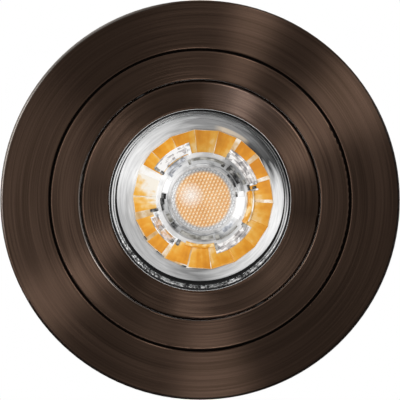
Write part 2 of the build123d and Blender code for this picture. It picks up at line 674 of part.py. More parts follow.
def clip_arm():
    """Arm of the +X clip: a strip with a bent foot and two ears on the pin."""
    arm = arm_strip(STRIP_X, STRIP_OUT_X, ARM_HALF_W, foot_reach())
    eye = Circle(CLIP_EAR_R - CLIP_SIDE_GAP)
    root = Pos((STRIP_X + STRIP_OUT_X) / 2, (ARM_TOP - ARM_EAR_H) / 2) * Rectangle(
        SHEET_T, ARM_TOP + ARM_EAR_H
    )
    outline = make_hull(eye.edges() + root.edges()) - Circle(CLIP_PIN_R + CLIP_PIN_FIT)
    for low, high in ((-ARM_HALF_W, -ARM_EAR_Y), (ARM_EAR_Y, ARM_HALF_W)):
        arm += Pos(CLIP_X, 0, CLIP_Z) * sheet_xz(outline, low, high)
    return arm


def clip_pad(arm):
    """Soft cap over the end of the arm's foot."""
    foot_x = CLIP_X + (STRIP_X + STRIP_OUT_X) / 2 + foot_reach()
    foot_z = CLIP_Z - ARM_LENGTH
    half_t = SHEET_T / 2 + PAD_WALL
    half_w = ARM_HALF_W + PAD_WALL
    cap = block((foot_x - FOOT_COVER, foot_x + PAD_WALL), (-half_w, half_w), (foot_z - half_t, foot_z + half_t))
    cap = fillet(cap.edges().filter_by(Axis.Y), PAD_ROUND)
    return cap - arm


def biarc(start, start_way, end, end_way):
    """Two tangent arcs that join two points in given directions."""
    chord = end - start
    ways = start_way + end_way
    a = 2 * (1 - start_way.dot(end_way))
    b = 2 * chord.dot(ways)
    reach = (math.sqrt(b * b + 4 * a * chord.dot(chord)) - b) / (2 * a)
    middle = (start + start_way * reach + end - end_way * reach) / 2
    half = middle - (start + start_way * reach)
    return [
        TangentArc(start, middle, tangent=start_way),
        TangentArc(middle, end, tangent=half.normalized()),
    ]


def coil_point(turn, climb=SPRING_PITCH / (2 * math.pi)):
    """Point and direction on the clip spring's helix, counted in turns from its fixed leg."""
    angle = math.pi - 2 * math.pi * turn
    place = Vector(SPRING_R * math.cos(angle), SPRING_PITCH * turn - COIL_HALF, SPRING_R * math.sin(angle))
    way = Vector(SPRING_R * math.sin(angle), climb, -SPRING_R * math.cos(angle))
    return place, way.normalized()


def clip_spring():
    """Torsion spring of the +X clip: one wire with a leg on the bracket, the coil and a leg on the arm."""
    turns = SPRING_TURNS + 0.5
    quarters = round(turns * 4)
    start, start_way = coil_point(0, climb=0)
    end, end_way = coil_point(turns, climb=0)
    between = [coil_point(turns * i / quarters) for i in range(1, quarters)]
    marks = [(start, start_way), *between, (end, end_way)]
    fixed_end = start - start_way * SPRING_FIXED_LEG
    edges = [Line(fixed_end, start)]
    for (a, a_way), (b, b_way) in zip(marks, marks[1:]):
        edges += biarc(a, a_way, b, b_way)
    edges.append(Line(end, end + end_way * SPRING_ARM_LEG))
    wire = sweep(Plane(fixed_end, z_dir=start_way) * Circle(SPRING_WIRE_R), path=Wire(edges))
    return Pos(CLIP_X, 0, CLIP_Z) * wire


def spring_gap():
    """Least gap between neighbouring turns of the clip spring, measured on points."""
    steps = 48
    points = [coil_point(i / steps)[0] for i in range(int((SPRING_TURNS + 0.5) * steps) + 1)]
    apart = [
        (a - b).length
        for i, a in enumerate(points)
        for b in points[i + steps // 2:]
    ]
    return min(apart) - 2 * SPRING_WIRE_R


def bracket_screws():
    """Four slotted screws that hold the two brackets on the sleeve."""
    screws = []
    tip = PAD_X - BRACKET_SCREW_BITE + SCREW_FIT
    top = BRACKET_X + BRACKET_SCREW_HEAD_T
    for y in (-BRACKET_SCREW_SPREAD, BRACKET_SCREW_SPREAD):
        screw = rod_x(BRACKET_SCREW_R, tip, top, y, BRACKET_SCREW_Z)
        screw += rod_x(BRACKET_SCREW_HEAD_R, BRACKET_X, top, y, BRACKET_SCREW_Z)
        slot_z = (BRACKET_SCREW_Z - SLOT_W / 2, BRACKET_SCREW_Z + SLOT_W / 2)
        reach = BRACKET_SCREW_HEAD_R + CUT
        screw -= block((top - SLOT_DEPTH, top + CUT), (y - reach, y + reach), slot_z)
        screws += both_ends(screw)
    return Compound(screws)


def save(name, shape):
    """Write one piece to its own file."""
    export_step(shape, f"parts/{name}.step")


def save_pair(name, shape):
    """Write the right-hand piece and its left-hand copy."""
    right, left = both_ends(shape)
    save(f"{name}_right", right)
    save(f"{name}_left", left)


os.makedirs("parts", exist_ok=True)

save("trim_ring", trim_ring())
save("bayonet_ring", bayonet_ring())
save_pair("pivot_pin", pivot_pin())
save("friction_washers", friction_washers())

save("tilt_ring", tilt_ring())
save("lamp_snap_ring", lamp_snap_ring())
save("lamp_glass", lamp_glass())
save("lamp_lens", lamp_lens())
save("led_chip", disc(CHIP_R, CHIP_Z, BOARD_Z))
save("led_board", disc(BOARD_R, BOARD_Z, SINK_Z))
save("lamp_heat_sink", lamp_heat_sink())
save("driver_board", driver_board())
save("driver_capacitor", driver_capacitor())
save("driver_choke", driver_choke())
save("lamp_base", lamp_base())
save("lamp_contact_pins", lamp_contact_pins())
save("holder_body", holder_body())
save("holder_contacts", holder_contacts())
save("holder_cover", holder_cover())
save("holder_screws", holder_screws())

right_arm = clip_arm()
save_pair("clip_bracket", clip_bracket())
save_pair("clip_pin", clip_pin())
save_pair("clip_arm", right_arm)
save_pair("clip_pad", clip_pad(right_arm))
save_pair("clip_spring", clip_spring())
save("bracket_screws", bracket_screws())

print(f"flange diameter {2 * FLANGE_R:.2f} mm")
print(f"least gap between the clip spring's turns {spring_gap():.2f} mm")
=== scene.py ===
# %% [markdown]
# # Dressing a recessed spotlight
# A recessed spotlight is three flat metal rings, one inside the other, round a small reflector
# lamp. The outer ring hides the hole in the ceiling, the middle one twists out to change the lamp,
# and the inner one tilts. The CAD model already has every ring, pin and clip at its true size, so
# this lesson keeps those shapes and spends its effort on what a solid modeller leaves out: brushed
# metal, clear plastic and light.

# %% Load the frame
import math

import bmesh
import bpy
from mathutils import Matrix, Vector


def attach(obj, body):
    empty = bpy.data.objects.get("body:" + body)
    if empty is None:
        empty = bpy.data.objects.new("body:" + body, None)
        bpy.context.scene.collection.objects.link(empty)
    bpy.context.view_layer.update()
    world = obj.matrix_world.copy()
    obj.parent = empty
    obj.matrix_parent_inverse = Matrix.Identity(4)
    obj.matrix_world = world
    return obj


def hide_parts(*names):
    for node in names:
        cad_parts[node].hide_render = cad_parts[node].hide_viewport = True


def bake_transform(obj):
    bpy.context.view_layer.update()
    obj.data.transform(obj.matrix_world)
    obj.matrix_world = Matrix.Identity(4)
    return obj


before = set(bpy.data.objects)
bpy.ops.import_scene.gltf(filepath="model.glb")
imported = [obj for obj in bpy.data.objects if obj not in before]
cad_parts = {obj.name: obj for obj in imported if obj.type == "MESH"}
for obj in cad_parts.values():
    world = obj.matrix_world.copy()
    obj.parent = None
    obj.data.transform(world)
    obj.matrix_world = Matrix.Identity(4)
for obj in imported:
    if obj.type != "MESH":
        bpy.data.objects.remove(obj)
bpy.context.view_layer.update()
MM = 0.001

# %% [markdown]
# ## Camera
# The picture looks straight up at the light from far away, so the rings are true circles and the
# sleeve behind them is hidden. A long lens at over a metre gives that. The camera is also rolled:
# the picture's twelve o'clock isn't one of the model's axes, because the tilt axis lies along a
# clock angle of 150 degrees.

# %% Camera at the picture's viewing angle
CAMERA_DISTANCE = 1.2
FRONT_Z = -3.0 * MM
PICTURE_WIDTH = 105.0 * MM
TILT_AXIS_CLOCK = 150.0


def clock_way(degrees):
    """Direction in the rings' plane for a clock angle in the picture: 0 is up and 90 is right."""
    turn = math.radians(degrees - TILT_AXIS_CLOCK)
    return Vector((math.cos(turn), math.sin(turn), 0))


camera = bpy.data.objects.new("camera", bpy.data.cameras.new("camera"))
bpy.context.scene.collection.objects.link(camera)
towards_camera = Vector((0, 0, -1))
roll = Matrix((clock_way(90), clock_way(0), towards_camera)).transposed()
camera.matrix_world = Matrix.Translation(towards_camera * CAMERA_DISTANCE) @ roll.to_4x4()
camera.data.lens = camera.data.sensor_width * (CAMERA_DISTANCE + FRONT_Z) / PICTURE_WIDTH
bpy.context.scene.camera = camera
print("lens in mm:", round(camera.data.lens))

# %% [markdown]
# ## Floor, sky and lamps
# The light shines down, so its face is lit from below, as if it lay face up on a table. Narrow soft
# boxes stand round it. Circular brushing turns each of them into a bright spoke on the metal, at
# the clock angle where the box stands and, more weakly, across from it. So the boxes stand at the
# spokes of the picture, and close by, because a near box makes the far spoke fade.

# %% Floor
FLOOR_Z = -1.7
FLOOR_SIZE = 3.0
FLOOR_COLOUR = (0.8, 0.8, 0.8, 1)
FLOOR_ROUGHNESS = 0.9

scene = bpy.context.scene
scene.view_settings.view_transform = "Standard"

bm = bmesh.new()
bmesh.ops.create_grid(bm, x_segments=1, y_segments=1, size=FLOOR_SIZE / 2)
bmesh.ops.translate(bm, verts=bm.verts, vec=(0, 0, FLOOR_Z))
floor_mesh = bpy.data.meshes.new("floor")
bm.to_mesh(floor_mesh)
bm.free()
floor = bpy.data.objects.new("floor", floor_mesh)
scene.collection.objects.link(floor)

floor_paint = bpy.data.materials.new("floor_paint")
floor_paint.use_nodes = True
paint = floor_paint.node_tree.nodes["Principled BSDF"].inputs
paint["Base Color"].default_value = FLOOR_COLOUR
paint["Roughness"].default_value = FLOOR_ROUGHNESS
floor_mesh.materials.append(floor_paint)
print("floor at", FLOOR_Z, "m")

# %% White surroundings
AMBIENT = 0.4
BACKGROUND = 1.0


def add_node(tree, kind, **settings):
    """New node with its settings."""
    node = tree.nodes.new(kind)
    for name, value in settings.items():
        setattr(node, name, value)
    return node


def feed(tree, socket, value):
    """Give an input socket a plain value or another node's output."""
    if isinstance(value, bpy.types.NodeSocket):
        tree.links.new(value, socket)
    else:
        socket.default_value = value


def fill(tree, node, **values):
    """Feed a node's inputs by name."""
    for name, value in values.items():
        feed(tree, node.inputs[name.replace("_", " ")], value)


def math_node(tree, operation, *values, clamp=False):
    """Math node with its inputs fed; returns its output."""
    node = add_node(tree, "ShaderNodeMath", operation=operation, use_clamp=clamp)
    for socket, value in zip(node.inputs, values):
        feed(tree, socket, value)
    return node.outputs[0]


world = bpy.data.worlds.new("surroundings")
scene.world = world
world.use_nodes = True
tree = world.node_tree
rays = add_node(tree, "ShaderNodeLightPath").outputs
seen = math_node(tree, "MAXIMUM", rays["Is Camera Ray"], rays["Is Glossy Ray"])
seen = math_node(tree, "MAXIMUM", seen, rays["Is Transmission Ray"])
level = add_node(tree, "ShaderNodeMapRange")
fill(tree, level, Value=seen, To_Min=AMBIENT, To_Max=BACKGROUND)
fill(tree, tree.nodes["Background"], Color=(1, 1, 1, 1), Strength=level.outputs["Result"])
print("surroundings at", AMBIENT, "and seen at", BACKGROUND)

# %% Soft boxes round the face and one above
def soft_box(name, clock, out, below, size, watts):
    """Area lamp at a clock angle, so far out from the axis and below the face, aimed at them."""
    place = clock_way(clock) * out + towards_camera * below
    lamp = bpy.data.lights.new(name, "AREA")
    lamp.shape = "RECTANGLE"
    lamp.size, lamp.size_y = size
    lamp.energy = watts
    box = bpy.data.objects.new(name, lamp)
    scene.collection.objects.link(box)
    box.location = place
    away = place.normalized()
    sideways = clock_way(clock + 90)
    box.rotation_mode = "QUATERNION"
    aim = Matrix((sideways, away.cross(sideways), away)).transposed()
    box.rotation_quaternion = aim.to_quaternion()


soft_box("box_top", clock=17, out=0.17, below=0.29, size=(0.03, 0.16), watts=0.12)
soft_box("box_top_right", clock=56, out=0.17, below=0.29, size=(0.055, 0.16), watts=0.175)
soft_box("box_bottom", clock=176, out=0.17, below=0.29, size=(0.05, 0.16), watts=0.155)
soft_box("box_bottom_left", clock=237, out=0.17, below=0.29, size=(0.04, 0.16), watts=0.12)
soft_box("box_left", clock=276, out=0.19, below=0.28, size=(0.2, 0.14), watts=0.38)
soft_box("box_behind", clock=200, out=0.5, below=-0.75, size=(0.6, 0.6), watts=8.0)

# %% [markdown]
# ## Brushed bronze
# The rings are turned on a lathe and brushed while they spin, so the lines run round the axis. A
# noise that changes fast along the radius and slowly round the circle gives such lines. To close
# the circle without a seam, the noise is read at the radius and at the direction's two components,
# never at an angle. The shine is stretched across the lines, which the shader's anisotropy does
# when its tangent runs round the axis. Painted highlights make the edges paler where the lamps
# catch them. Painted light fills the gap round the inner ring at the lower right. Painted shade
# makes the grooves between the rings and most of the outer edge nearly black. The inner ring's
# spokes are partly painted into its colour by clock angle, which makes its spoke at one o'clock
# the brightest of all.

# %% A node group for lines that run round the axis
TINY_RADIUS = 1e-5
BANDS_PER_MM = 0.45
BAND_STROKE = 0.9


def new_group(name, numbers, outputs):
    """Shader node group fed by a position and numbers; returns it with its two end nodes."""
    group = bpy.data.node_groups.new(name, "ShaderNodeTree")
    group.interface.new_socket("Position", in_out="INPUT", socket_type="NodeSocketVector")
    for socket in numbers:
        group.interface.new_socket(socket, in_out="INPUT", socket_type="NodeSocketFloat")
    for socket in outputs:
        group.interface.new_socket(socket, in_out="OUTPUT", socket_type="NodeSocketFloat")
    return group, group.nodes.new("NodeGroupInput"), group.nodes.new("NodeGroupOutput")


def noise(tree, place, scale, detail=2.0, distortion=0.0):
    """Plain noise; returns its value."""
    node = add_node(tree, "ShaderNodeTexNoise")
    fill(tree, node, Vector=place, Scale=scale, Detail=detail, Distortion=distortion)
    return node.outputs["Fac"]


turned_lines, ends_in, ends_out = new_group(
    "turned_lines", ["Lines per mm", "Stroke", "Detail"],
    ["Lines", "Bands", "Radius", "Height", "Clock"],
)
split = add_node(turned_lines, "ShaderNodeSeparateXYZ")
turned_lines.links.new(ends_in.outputs["Position"], split.inputs[0])
across_x, across_y = split.outputs["X"], split.outputs["Y"]
square = math_node(turned_lines, "MULTIPLY_ADD", across_y, across_y,
                   math_node(turned_lines, "MULTIPLY", across_x, across_x))
radius = math_node(turned_lines, "MAXIMUM", math_node(turned_lines, "SQRT", square), TINY_RADIUS)
radius_mm = math_node(turned_lines, "MULTIPLY", radius, 1 / MM)
round_x = math_node(turned_lines, "DIVIDE", across_x, radius)
round_y = math_node(turned_lines, "DIVIDE", across_y, radius)


def line_noise(per_mm, stroke):
    """Noise read along the radius and round the axis, with no seam."""
    join = add_node(turned_lines, "ShaderNodeCombineXYZ")
    parts = ((radius_mm, per_mm), (round_x, stroke), (round_y, stroke))
    for socket, (value, factor) in zip(join.inputs, parts):
        feed(turned_lines, socket, math_node(turned_lines, "MULTIPLY", value, factor))
    return noise(turned_lines, join.outputs[0], 1.0, ends_in.outputs["Detail"])


def along(way):
    """How far the direction round the axis agrees with a given one, from -1 to 1."""
    return math_node(turned_lines, "MULTIPLY_ADD", round_x, way.x,
                     math_node(turned_lines, "MULTIPLY", round_y, way.y))


clock_turn = math_node(turned_lines, "ARCTAN2", along(clock_way(90)), along(clock_way(0)))
clock_share = math_node(turned_lines, "DIVIDE", clock_turn, math.tau)
for name, value in {
    "Lines": line_noise(ends_in.outputs["Lines per mm"], ends_in.outputs["Stroke"]),
    "Bands": line_noise(BANDS_PER_MM, BAND_STROKE),
    "Radius": radius_mm,
    "Height": math_node(turned_lines, "MULTIPLY", split.outputs["Z"], 1 / MM),
    "Clock": math_node(turned_lines, "WRAP", clock_share, 1.0, 0.0),
}.items():
    turned_lines.links.new(value, ends_out.inputs[name])
print("group turned_lines has", len(turned_lines.nodes), "nodes")

# %% Helpers for finishes
def new_material(name):
    """Material with its tree, its Principled shader and its Object coordinates."""
    material = bpy.data.materials.new(name)
    material.use_nodes = True
    tree = material.node_tree
    shader = tree.nodes["Principled BSDF"]
    place = add_node(tree, "ShaderNodeTexCoord").outputs["Object"]
    return material, tree, shader, place


def use_group(tree, group, **values):
    """Node group placed in a material, with its inputs fed; returns its outputs."""
    node = add_node(tree, "ShaderNodeGroup", node_tree=group)
    fill(tree, node, **values)
    return node.outputs


def turned(tree, place, per_mm=3.0, stroke=4.0, detail=3.0):
    """Lines that run round the axis: the outputs of their node group."""
    return use_group(
        tree, turned_lines, Position=place, Lines_per_mm=per_mm, Stroke=stroke, Detail=detail,
    )


def attribute(tree, name):
    """Value that the mesh keeps under a name."""
    return add_node(tree, "ShaderNodeAttribute", attribute_name=name).outputs["Fac"]


def ramp(tree, value, *stops):
    """Colour ramp from two or more (position, colour) stops; returns its colour."""
    node = add_node(tree, "ShaderNodeValToRGB")
    elements = node.color_ramp.elements
    while len(elements) < len(stops):
        elements.new(1.0)
    for element, (position, colour) in zip(elements, stops):
        element.position = position
        element.color = (*colour, 1) if isinstance(colour, tuple) else (*[colour] * 3, 1)
    tree.links.new(value, node.inputs[0])
    return node.outputs["Color"]


def spread(tree, value, low, high, start=0.0, end=1.0):
    """Value between start and end stretched to run from low to high."""
    node = add_node(tree, "ShaderNodeMapRange", interpolation_type="SMOOTHSTEP")
    fill(tree, node, Value=value, From_Min=start, From_Max=end, To_Min=low, To_Max=high)
    return node.outputs["Result"]


def mask(tree, value, start, end):
    """Soft step from 0 at start to 1 at end."""
    return spread(tree, value, 0.0, 1.0, start, end)


def swing(tree, value, width):
    """Value from 0 to 1 turned into one of that width about zero."""
    return math_node(tree, "MULTIPLY_ADD", value, width, -width / 2)


def weighted(tree, first, share, second):
    """Sum of two values, of which the first has the given share."""
    rest = math_node(tree, "MULTIPLY", second, 1 - share)
    return math_node(tree, "MULTIPLY_ADD", first, share, rest)


def blend_colours(tree, factor, first, second):
    """Mix of two colours by a factor; returns its colour."""
    node = add_node(tree, "ShaderNodeMix", data_type="RGBA")
    tree.links.new(factor, node.inputs["Factor"])
    for socket, colour in zip([s for s in node.inputs if s.type == "RGBA"], (first, second)):
        feed(tree, socket, (*colour, 1) if isinstance(colour, tuple) else colour)
    return next(s for s in node.outputs if s.type == "RGBA")


def product(tree, first, second):
    """Two colours multiplied."""
    node = add_node(tree, "ShaderNodeVectorMath", operation="MULTIPLY")
    tree.links.new(first, node.inputs[0])
    tree.links.new(second, node.inputs[1])
    return node.outputs[0]


def bump(tree, height, depth, shader):
    """Bump of that depth in mm on the shader's normal."""
    node = add_node(tree, "ShaderNodeBump")
    fill(tree, node, Height=height, Distance=depth * MM, Strength=1.0)
    fill(tree, shader, Normal=node.outputs["Normal"])


def dress(material, *nodes):
    """Put a finish on CAD nodes."""
    for node in nodes:
        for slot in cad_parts[node].material_slots:
            slot.material = material


print("CAD nodes to dress:", len(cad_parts))

# %% Bronze for the rings
BRONZE_DARK = (0.040, 0.0248, 0.0174)
BRONZE_LIGHT = (0.063, 0.0394, 0.0279)
BRONZE_STOPS = (0.36, 0.64)
BRONZE_ROUGHNESS = (0.2, 0.25)
LINES_SHARE = 0.65
BRUSHING = 0.97
BRUSHING_DEPTH = 0.006
# painted highlight: pale colour on ring edges where the lamps catch them
EDGE_HIGHLIGHT_PAINT = (0.42, 0.39, 0.36)
# painted light: lighter bronze on both edges of the inner ring's gap, where it lies in shade
GAP_LIGHT_PAINT = (0.2, 0.135, 0.1)
# painted shade: near black in the grooves between the rings and on the outer edge
PAINTED_SHADE_DARK = (0.008, 0.006, 0.005)
GROOVE_BACK = (-0.2, -0.5)
# stops by clock angle, from 0 to 1 once round: the share of an edge's painted highlight, light
# or shade, or the painted light and shade of a whole face
OUTER_HIGHLIGHT_CLOCK = ((0.71, 0.0), (0.76, 0.3), (0.92, 0.5), (0.98, 0.0))
OUTER_EDGE_SHADE = ((0.02, 0.1), (0.22, 0.9), (0.64, 0.9), (0.7, 0.0))
MIDDLE_HIGHLIGHT_CLOCK = ((0.57, 0.0), (0.63, 0.38), (0.69, 0.45), (0.76, 0.4), (0.82, 0.0))
GAP_LIGHT_CLOCK = ((0.28, 0.0), (0.33, 0.6), (0.46, 0.7), (0.53, 0.0))
# painted highlights: the inner ring's spokes of light and shade by clock angle, some above 1
INNER_PAINTED_SPOKES = (
    (0.0, 0.5), (0.06, (1.3, 1.42, 1.6)), (0.11, (1.1, 1.15, 1.25)), (0.15, 0.75), (0.27, 0.4),
    (0.38, 1.2), (0.48, 0.55), (0.53, 0.7), (0.6, 0.38), (0.69, 0.55), (0.77, 0.48), (0.87, 0.95),
    (0.93, 0.6), (1.0, 0.5),
)


def brushed_bronze(name, gain, turn, groove, rim, edges, painted_spokes=None):
    """Dark brown metal with circular brushing; turn is how far the shine turns from the radius.

    It gets painted shade, nearly black, in the groove between two radii. On the rim each edge is a
    colour of painted highlight, light or shade with its share by clock angle, and the last argument
    gives painted spokes: the light and shade of the whole face painted by clock angle.
    """
    material, tree, shader, place = new_material(name)
    lines = turned(tree, place, per_mm=3.0, stroke=1.2, detail=1.5)
    tones = [tuple(gain * c for c in tone) for tone in (BRONZE_DARK, BRONZE_LIGHT)]
    streaks = weighted(tree, lines["Lines"], LINES_SHARE, lines["Bands"])
    colour = ramp(tree, streaks, *zip(BRONZE_STOPS, tones))
    # painted light and shade of the face by clock angle
    if painted_spokes:
        colour = product(tree, colour, ramp(tree, lines["Clock"], *painted_spokes))
    at_rim = mask(tree, lines["Radius"], *rim)
    for tone, clock in edges:
        share = math_node(tree, "MULTIPLY", at_rim, ramp(tree, lines["Clock"], *clock))
        colour = blend_colours(tree, share, colour, tone)
    # painted shade in the groove, not on the sleeve behind it
    groove_shade_share = math_node(tree, "MULTIPLY", mask(tree, lines["Radius"], *groove),
                          mask(tree, lines["Height"], *GROOVE_BACK))
    tangent = add_node(tree, "ShaderNodeTangent", direction_type="RADIAL", axis="Z")
    fill(
        tree, shader, Base_Color=blend_colours(tree, groove_shade_share, colour, PAINTED_SHADE_DARK), Metallic=1.0,
        Roughness=spread(tree, lines["Lines"], *BRONZE_ROUGHNESS, start=0.3, end=0.7),
        Anisotropic=BRUSHING, Anisotropic_Rotation=turn, Tangent=tangent.outputs[0],
    )
    bump(tree, lines["Lines"], BRUSHING_DEPTH, shader)
    return material


dress(brushed_bronze(
    "bronze_outer", gain=0.92, turn=0.25, groove=(39.85, 39.76), rim=(51.7, 51.95),
    edges=((EDGE_HIGHLIGHT_PAINT, OUTER_HIGHLIGHT_CLOCK), (PAINTED_SHADE_DARK, OUTER_EDGE_SHADE)),
), "trim_ring")
dress(brushed_bronze(
    "bronze_middle", gain=1.12, turn=0.25, groove=(39.15, 39.24), rim=(32.05, 31.9),
    edges=((EDGE_HIGHLIGHT_PAINT, MIDDLE_HIGHLIGHT_CLOCK), (GAP_LIGHT_PAINT, GAP_LIGHT_CLOCK)),
), "bayonet_ring")
dress(brushed_bronze(
    "bronze_inner", gain=1.95, turn=0.277, groove=(31.2, 31.3), rim=(30.9, 31.1),
    edges=((GAP_LIGHT_PAINT, GAP_LIGHT_CLOCK),), painted_spokes=INNER_PAINTED_SPOKES,
), "tilt_ring")
print("bronze on trim_ring, bayonet_ring and tilt_ring")

# %% [markdown]
# ## Lamp lens
# The lamp isn't lit. What looks like a ring of amber tiles is the yellow light source, seen again
# and again in the eighteen flat facets of the lens. Clear plastic with real refraction could show
# that, but it would need many samples and would be lost in an exported model. So the lens is built
# the way it looks, with its reflections painted into its colours: facets painted with the amber of
# the light source, pale joints between them, bright and dark mouldings in front, and a small
# honeycomb in the middle. The facets sit a little off the lamp's axis, as the light source behind
# them does.

# %% Helpers that turn a bmesh into a piece
SHARP = math.radians(30)
MERGE_DISTANCE = 1e-7
RING_STEPS = 144
LENS_SHIFT = clock_way(77) * 0.82 * MM


def spun(outline, steps=RING_STEPS, rounding=0.0, rounded=()):
    """Closed outline of (radius, height) points in mm, some corners rounded, spun round Z."""
    bm = bmesh.new()
    corners = [bm.verts.new((radius * MM, 0, height * MM)) for radius, height in outline]
    for pair in zip(corners, corners[1:] + corners[:1]):
        bm.edges.new(pair)
    if rounding:
        bmesh.ops.bevel(
            bm, geom=[corners[i] for i in rounded], offset=rounding * MM, affect="VERTICES",
            segments=4, profile=0.5, material=-1,
        )
    bmesh.ops.spin(
        bm, geom=bm.verts[:] + bm.edges[:], cent=(0, 0, 0), axis=(0, 0, 1), angle=math.tau,
        steps=steps, use_merge=True,
    )
    return bm


def mesh_object(name, bm, *finishes, shift=None, flat=False):
    """Object from a bmesh, closed and put in place, smooth but for sharp edges unless flat."""
    bmesh.ops.remove_doubles(bm, verts=bm.verts, dist=MERGE_DISTANCE)
    bmesh.ops.recalc_face_normals(bm, faces=bm.faces)
    if shift is not None:
        bmesh.ops.translate(bm, verts=bm.verts, vec=shift)
    mesh = bpy.data.meshes.new(name)
    bm.to_mesh(mesh)
    bm.free()
    for finish in finishes:
        mesh.materials.append(finish)
    mesh.polygons.foreach_set("use_smooth", [not flat] * len(mesh.polygons))
    if not flat:
        mesh.set_sharp_from_angle(angle=SHARP)
    made = bpy.data.objects.new(name, mesh)
    scene.collection.objects.link(made)
    print(name, "has", len(mesh.polygons), "faces")
    return made


def piece(name, bm, *finishes, slot="lens", **options):
    """Piece of the lamp head from a bmesh."""
    made = mesh_object(name, bm, *finishes, **options)
    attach(made, "lamp_head")
    return made


print("the lens sits", round(LENS_SHIFT.length / MM, 2), "mm off the axis")

# %% Finishes of the facets
AMBER_TONES = (
    (0.0, (0.66, 0.24, 0.006)), (0.35, (0.8, 0.33, 0.018)), (0.6, (0.86, 0.44, 0.06)),
    (0.8, (0.9, 0.6, 0.24)), (1.0, (0.92, 0.86, 0.76)),
)
AMBER_SHARE = 0.5
SPECK_SHARE = 0.8
SPECK_SCALE = 450.0
SPECK_DEPTH = 0.02
# painted light and shade of the facets by clock angle
TILE_LIGHT_BY_CLOCK = (
    (0.0, 0.7), (0.06, 0.74), (0.11, 0.9), (0.2, 0.92), (0.28, 0.82), (0.46, 0.83), (0.54, 0.92),
    (0.72, 0.95), (0.92, 0.96), (0.97, 0.78), (1.0, 0.7),
)
JOINT_TONES = (
    (0.28, (0.74, 0.34, 0.04)), (0.4, (0.56, 0.33, 0.12)), (0.5, (0.66, 0.47, 0.26)),
    (0.6, (0.78, 0.69, 0.56)), (0.74, (0.93, 0.91, 0.88)),
)
JOINT_SCALE = 260.0
# painted glare: joints nearly white at the left, by clock angle
JOINT_GLARE_CLOCK = ((0.75, 0.0), (0.78, 0.3), (0.83, 0.3), (0.85, 0.0))
JOINT_AMBER = ((0.26, 0.0), (0.3, 0.25), (0.45, 0.25), (0.48, 0.0))


def amber_facet():
    """Painted reflection of the amber light source in a clear facet: deep orange to yellow by tile,
    paler to one side of each, white in a painted glare on the left, lighter or darker by clock
    angle.
    """
    material, tree, shader, place = new_material("amber_facet")
    lines = turned(tree, place, per_mm=0.12, stroke=14.0, detail=1.0)
    specks = noise(tree, place, SPECK_SCALE)
    value = attribute(tree, "tint")
    for part in (attribute(tree, "side"), attribute(tree, "inner"), lines["Lines"]):
        value = math_node(tree, "ADD", value, swing(tree, part, AMBER_SHARE))
    value = math_node(tree, "ADD", value, swing(tree, specks, SPECK_SHARE))
    colour = product(tree, ramp(tree, value, *AMBER_TONES), ramp(tree, lines["Clock"], *TILE_LIGHT_BY_CLOCK))
    fill(tree, shader, Base_Color=colour, Roughness=0.4, Specular_IOR_Level=0.2)
    bump(tree, specks, SPECK_DEPTH, shader)
    return material


def pale_joint():
    """Moulded joint between two facets: nearly white in a painted glare here, lost in the painted
    amber there.
    """
    material, tree, shader, place = new_material("pale_joint")
    clock = turned(tree, place)["Clock"]
    cloud = noise(tree, place, JOINT_SCALE, detail=3.0)
    value = math_node(tree, "ADD", cloud, ramp(tree, clock, *JOINT_GLARE_CLOCK))
    value = math_node(tree, "SUBTRACT", value, ramp(tree, clock, *JOINT_AMBER))
    fill(tree, shader, Base_Color=ramp(tree, value, *JOINT_TONES), Roughness=0.2)
    return material


facet_finishes = (pale_joint(), amber_facet())
print("finishes:", [finish.name for finish in facet_finishes])

# %% Amber facets with pale joints
FACETS = 18
FACET_DEG = 360 / FACETS
TILE_INNER = 12.0
TILE_OUTER = 18.5
TILE_FRONT = -0.45
TILE_BACK = 0.9
TILE_OUTLINE = (
    (TILE_OUTER, TILE_FRONT), (TILE_OUTER, 0.3), (TILE_INNER, 1.6), (TILE_INNER, TILE_BACK),
)
TILE_FACING = -0.5
TILE_JOINT = 0.14
TILE_RAISE = 0.06
JOINT_CLOCK = 13.0
PLAIN_TILES = (4, 5, 6, 7)
PLAIN_SLANT = 0.3
# painted reflection of the light source, one tint per tile; the tile at 1.0 on the left is a
# painted white glare
TILE_TINTS = (
    0.44, 0.24, 0.22, 0.48, 0.6, 0.6, 0.54, 0.54, 0.48, 0.42, 0.32, 0.4, 0.64, 1.0, 0.54, 0.48,
    0.46, 0.48,
)
# degrees off a tile's start and end, then mm off its outer corner at the start and at the end
TILE_CUTS = {
    0: (0, 4, 0, 0), 1: (0, 4, 0, 0), 2: (0, 3, 0.1, 0.1), 3: (0, 2.5, 0.15, 0.1),
    4: (0, 0, 0, 0.2), 5: (0, 0, 0, 0.15), 6: (0, 0.5, 0, 0.25), 7: (0.5, 0, 0.4, 0.1),
    8: (0.5, 0.5, 0, 0.2), 9: (0.5, 0, 0.6, 0), 10: (4, 0, 0.4, 0), 11: (3, 0, 0.45, 0),
    12: (6, 0.5, 0.3, 0), 14: (7, 0, 0, 0),
}


def tile_clock(point):
    """Clock angle of a point, counted from the first joint."""
    return (math.degrees(math.atan2(point.y, point.x)) + TILT_AXIS_CLOCK - JOINT_CLOCK) % 360


def about_axis(degrees):
    """Turn about the lens's axis."""
    return Matrix.Rotation(math.radians(degrees), 3, "Z")


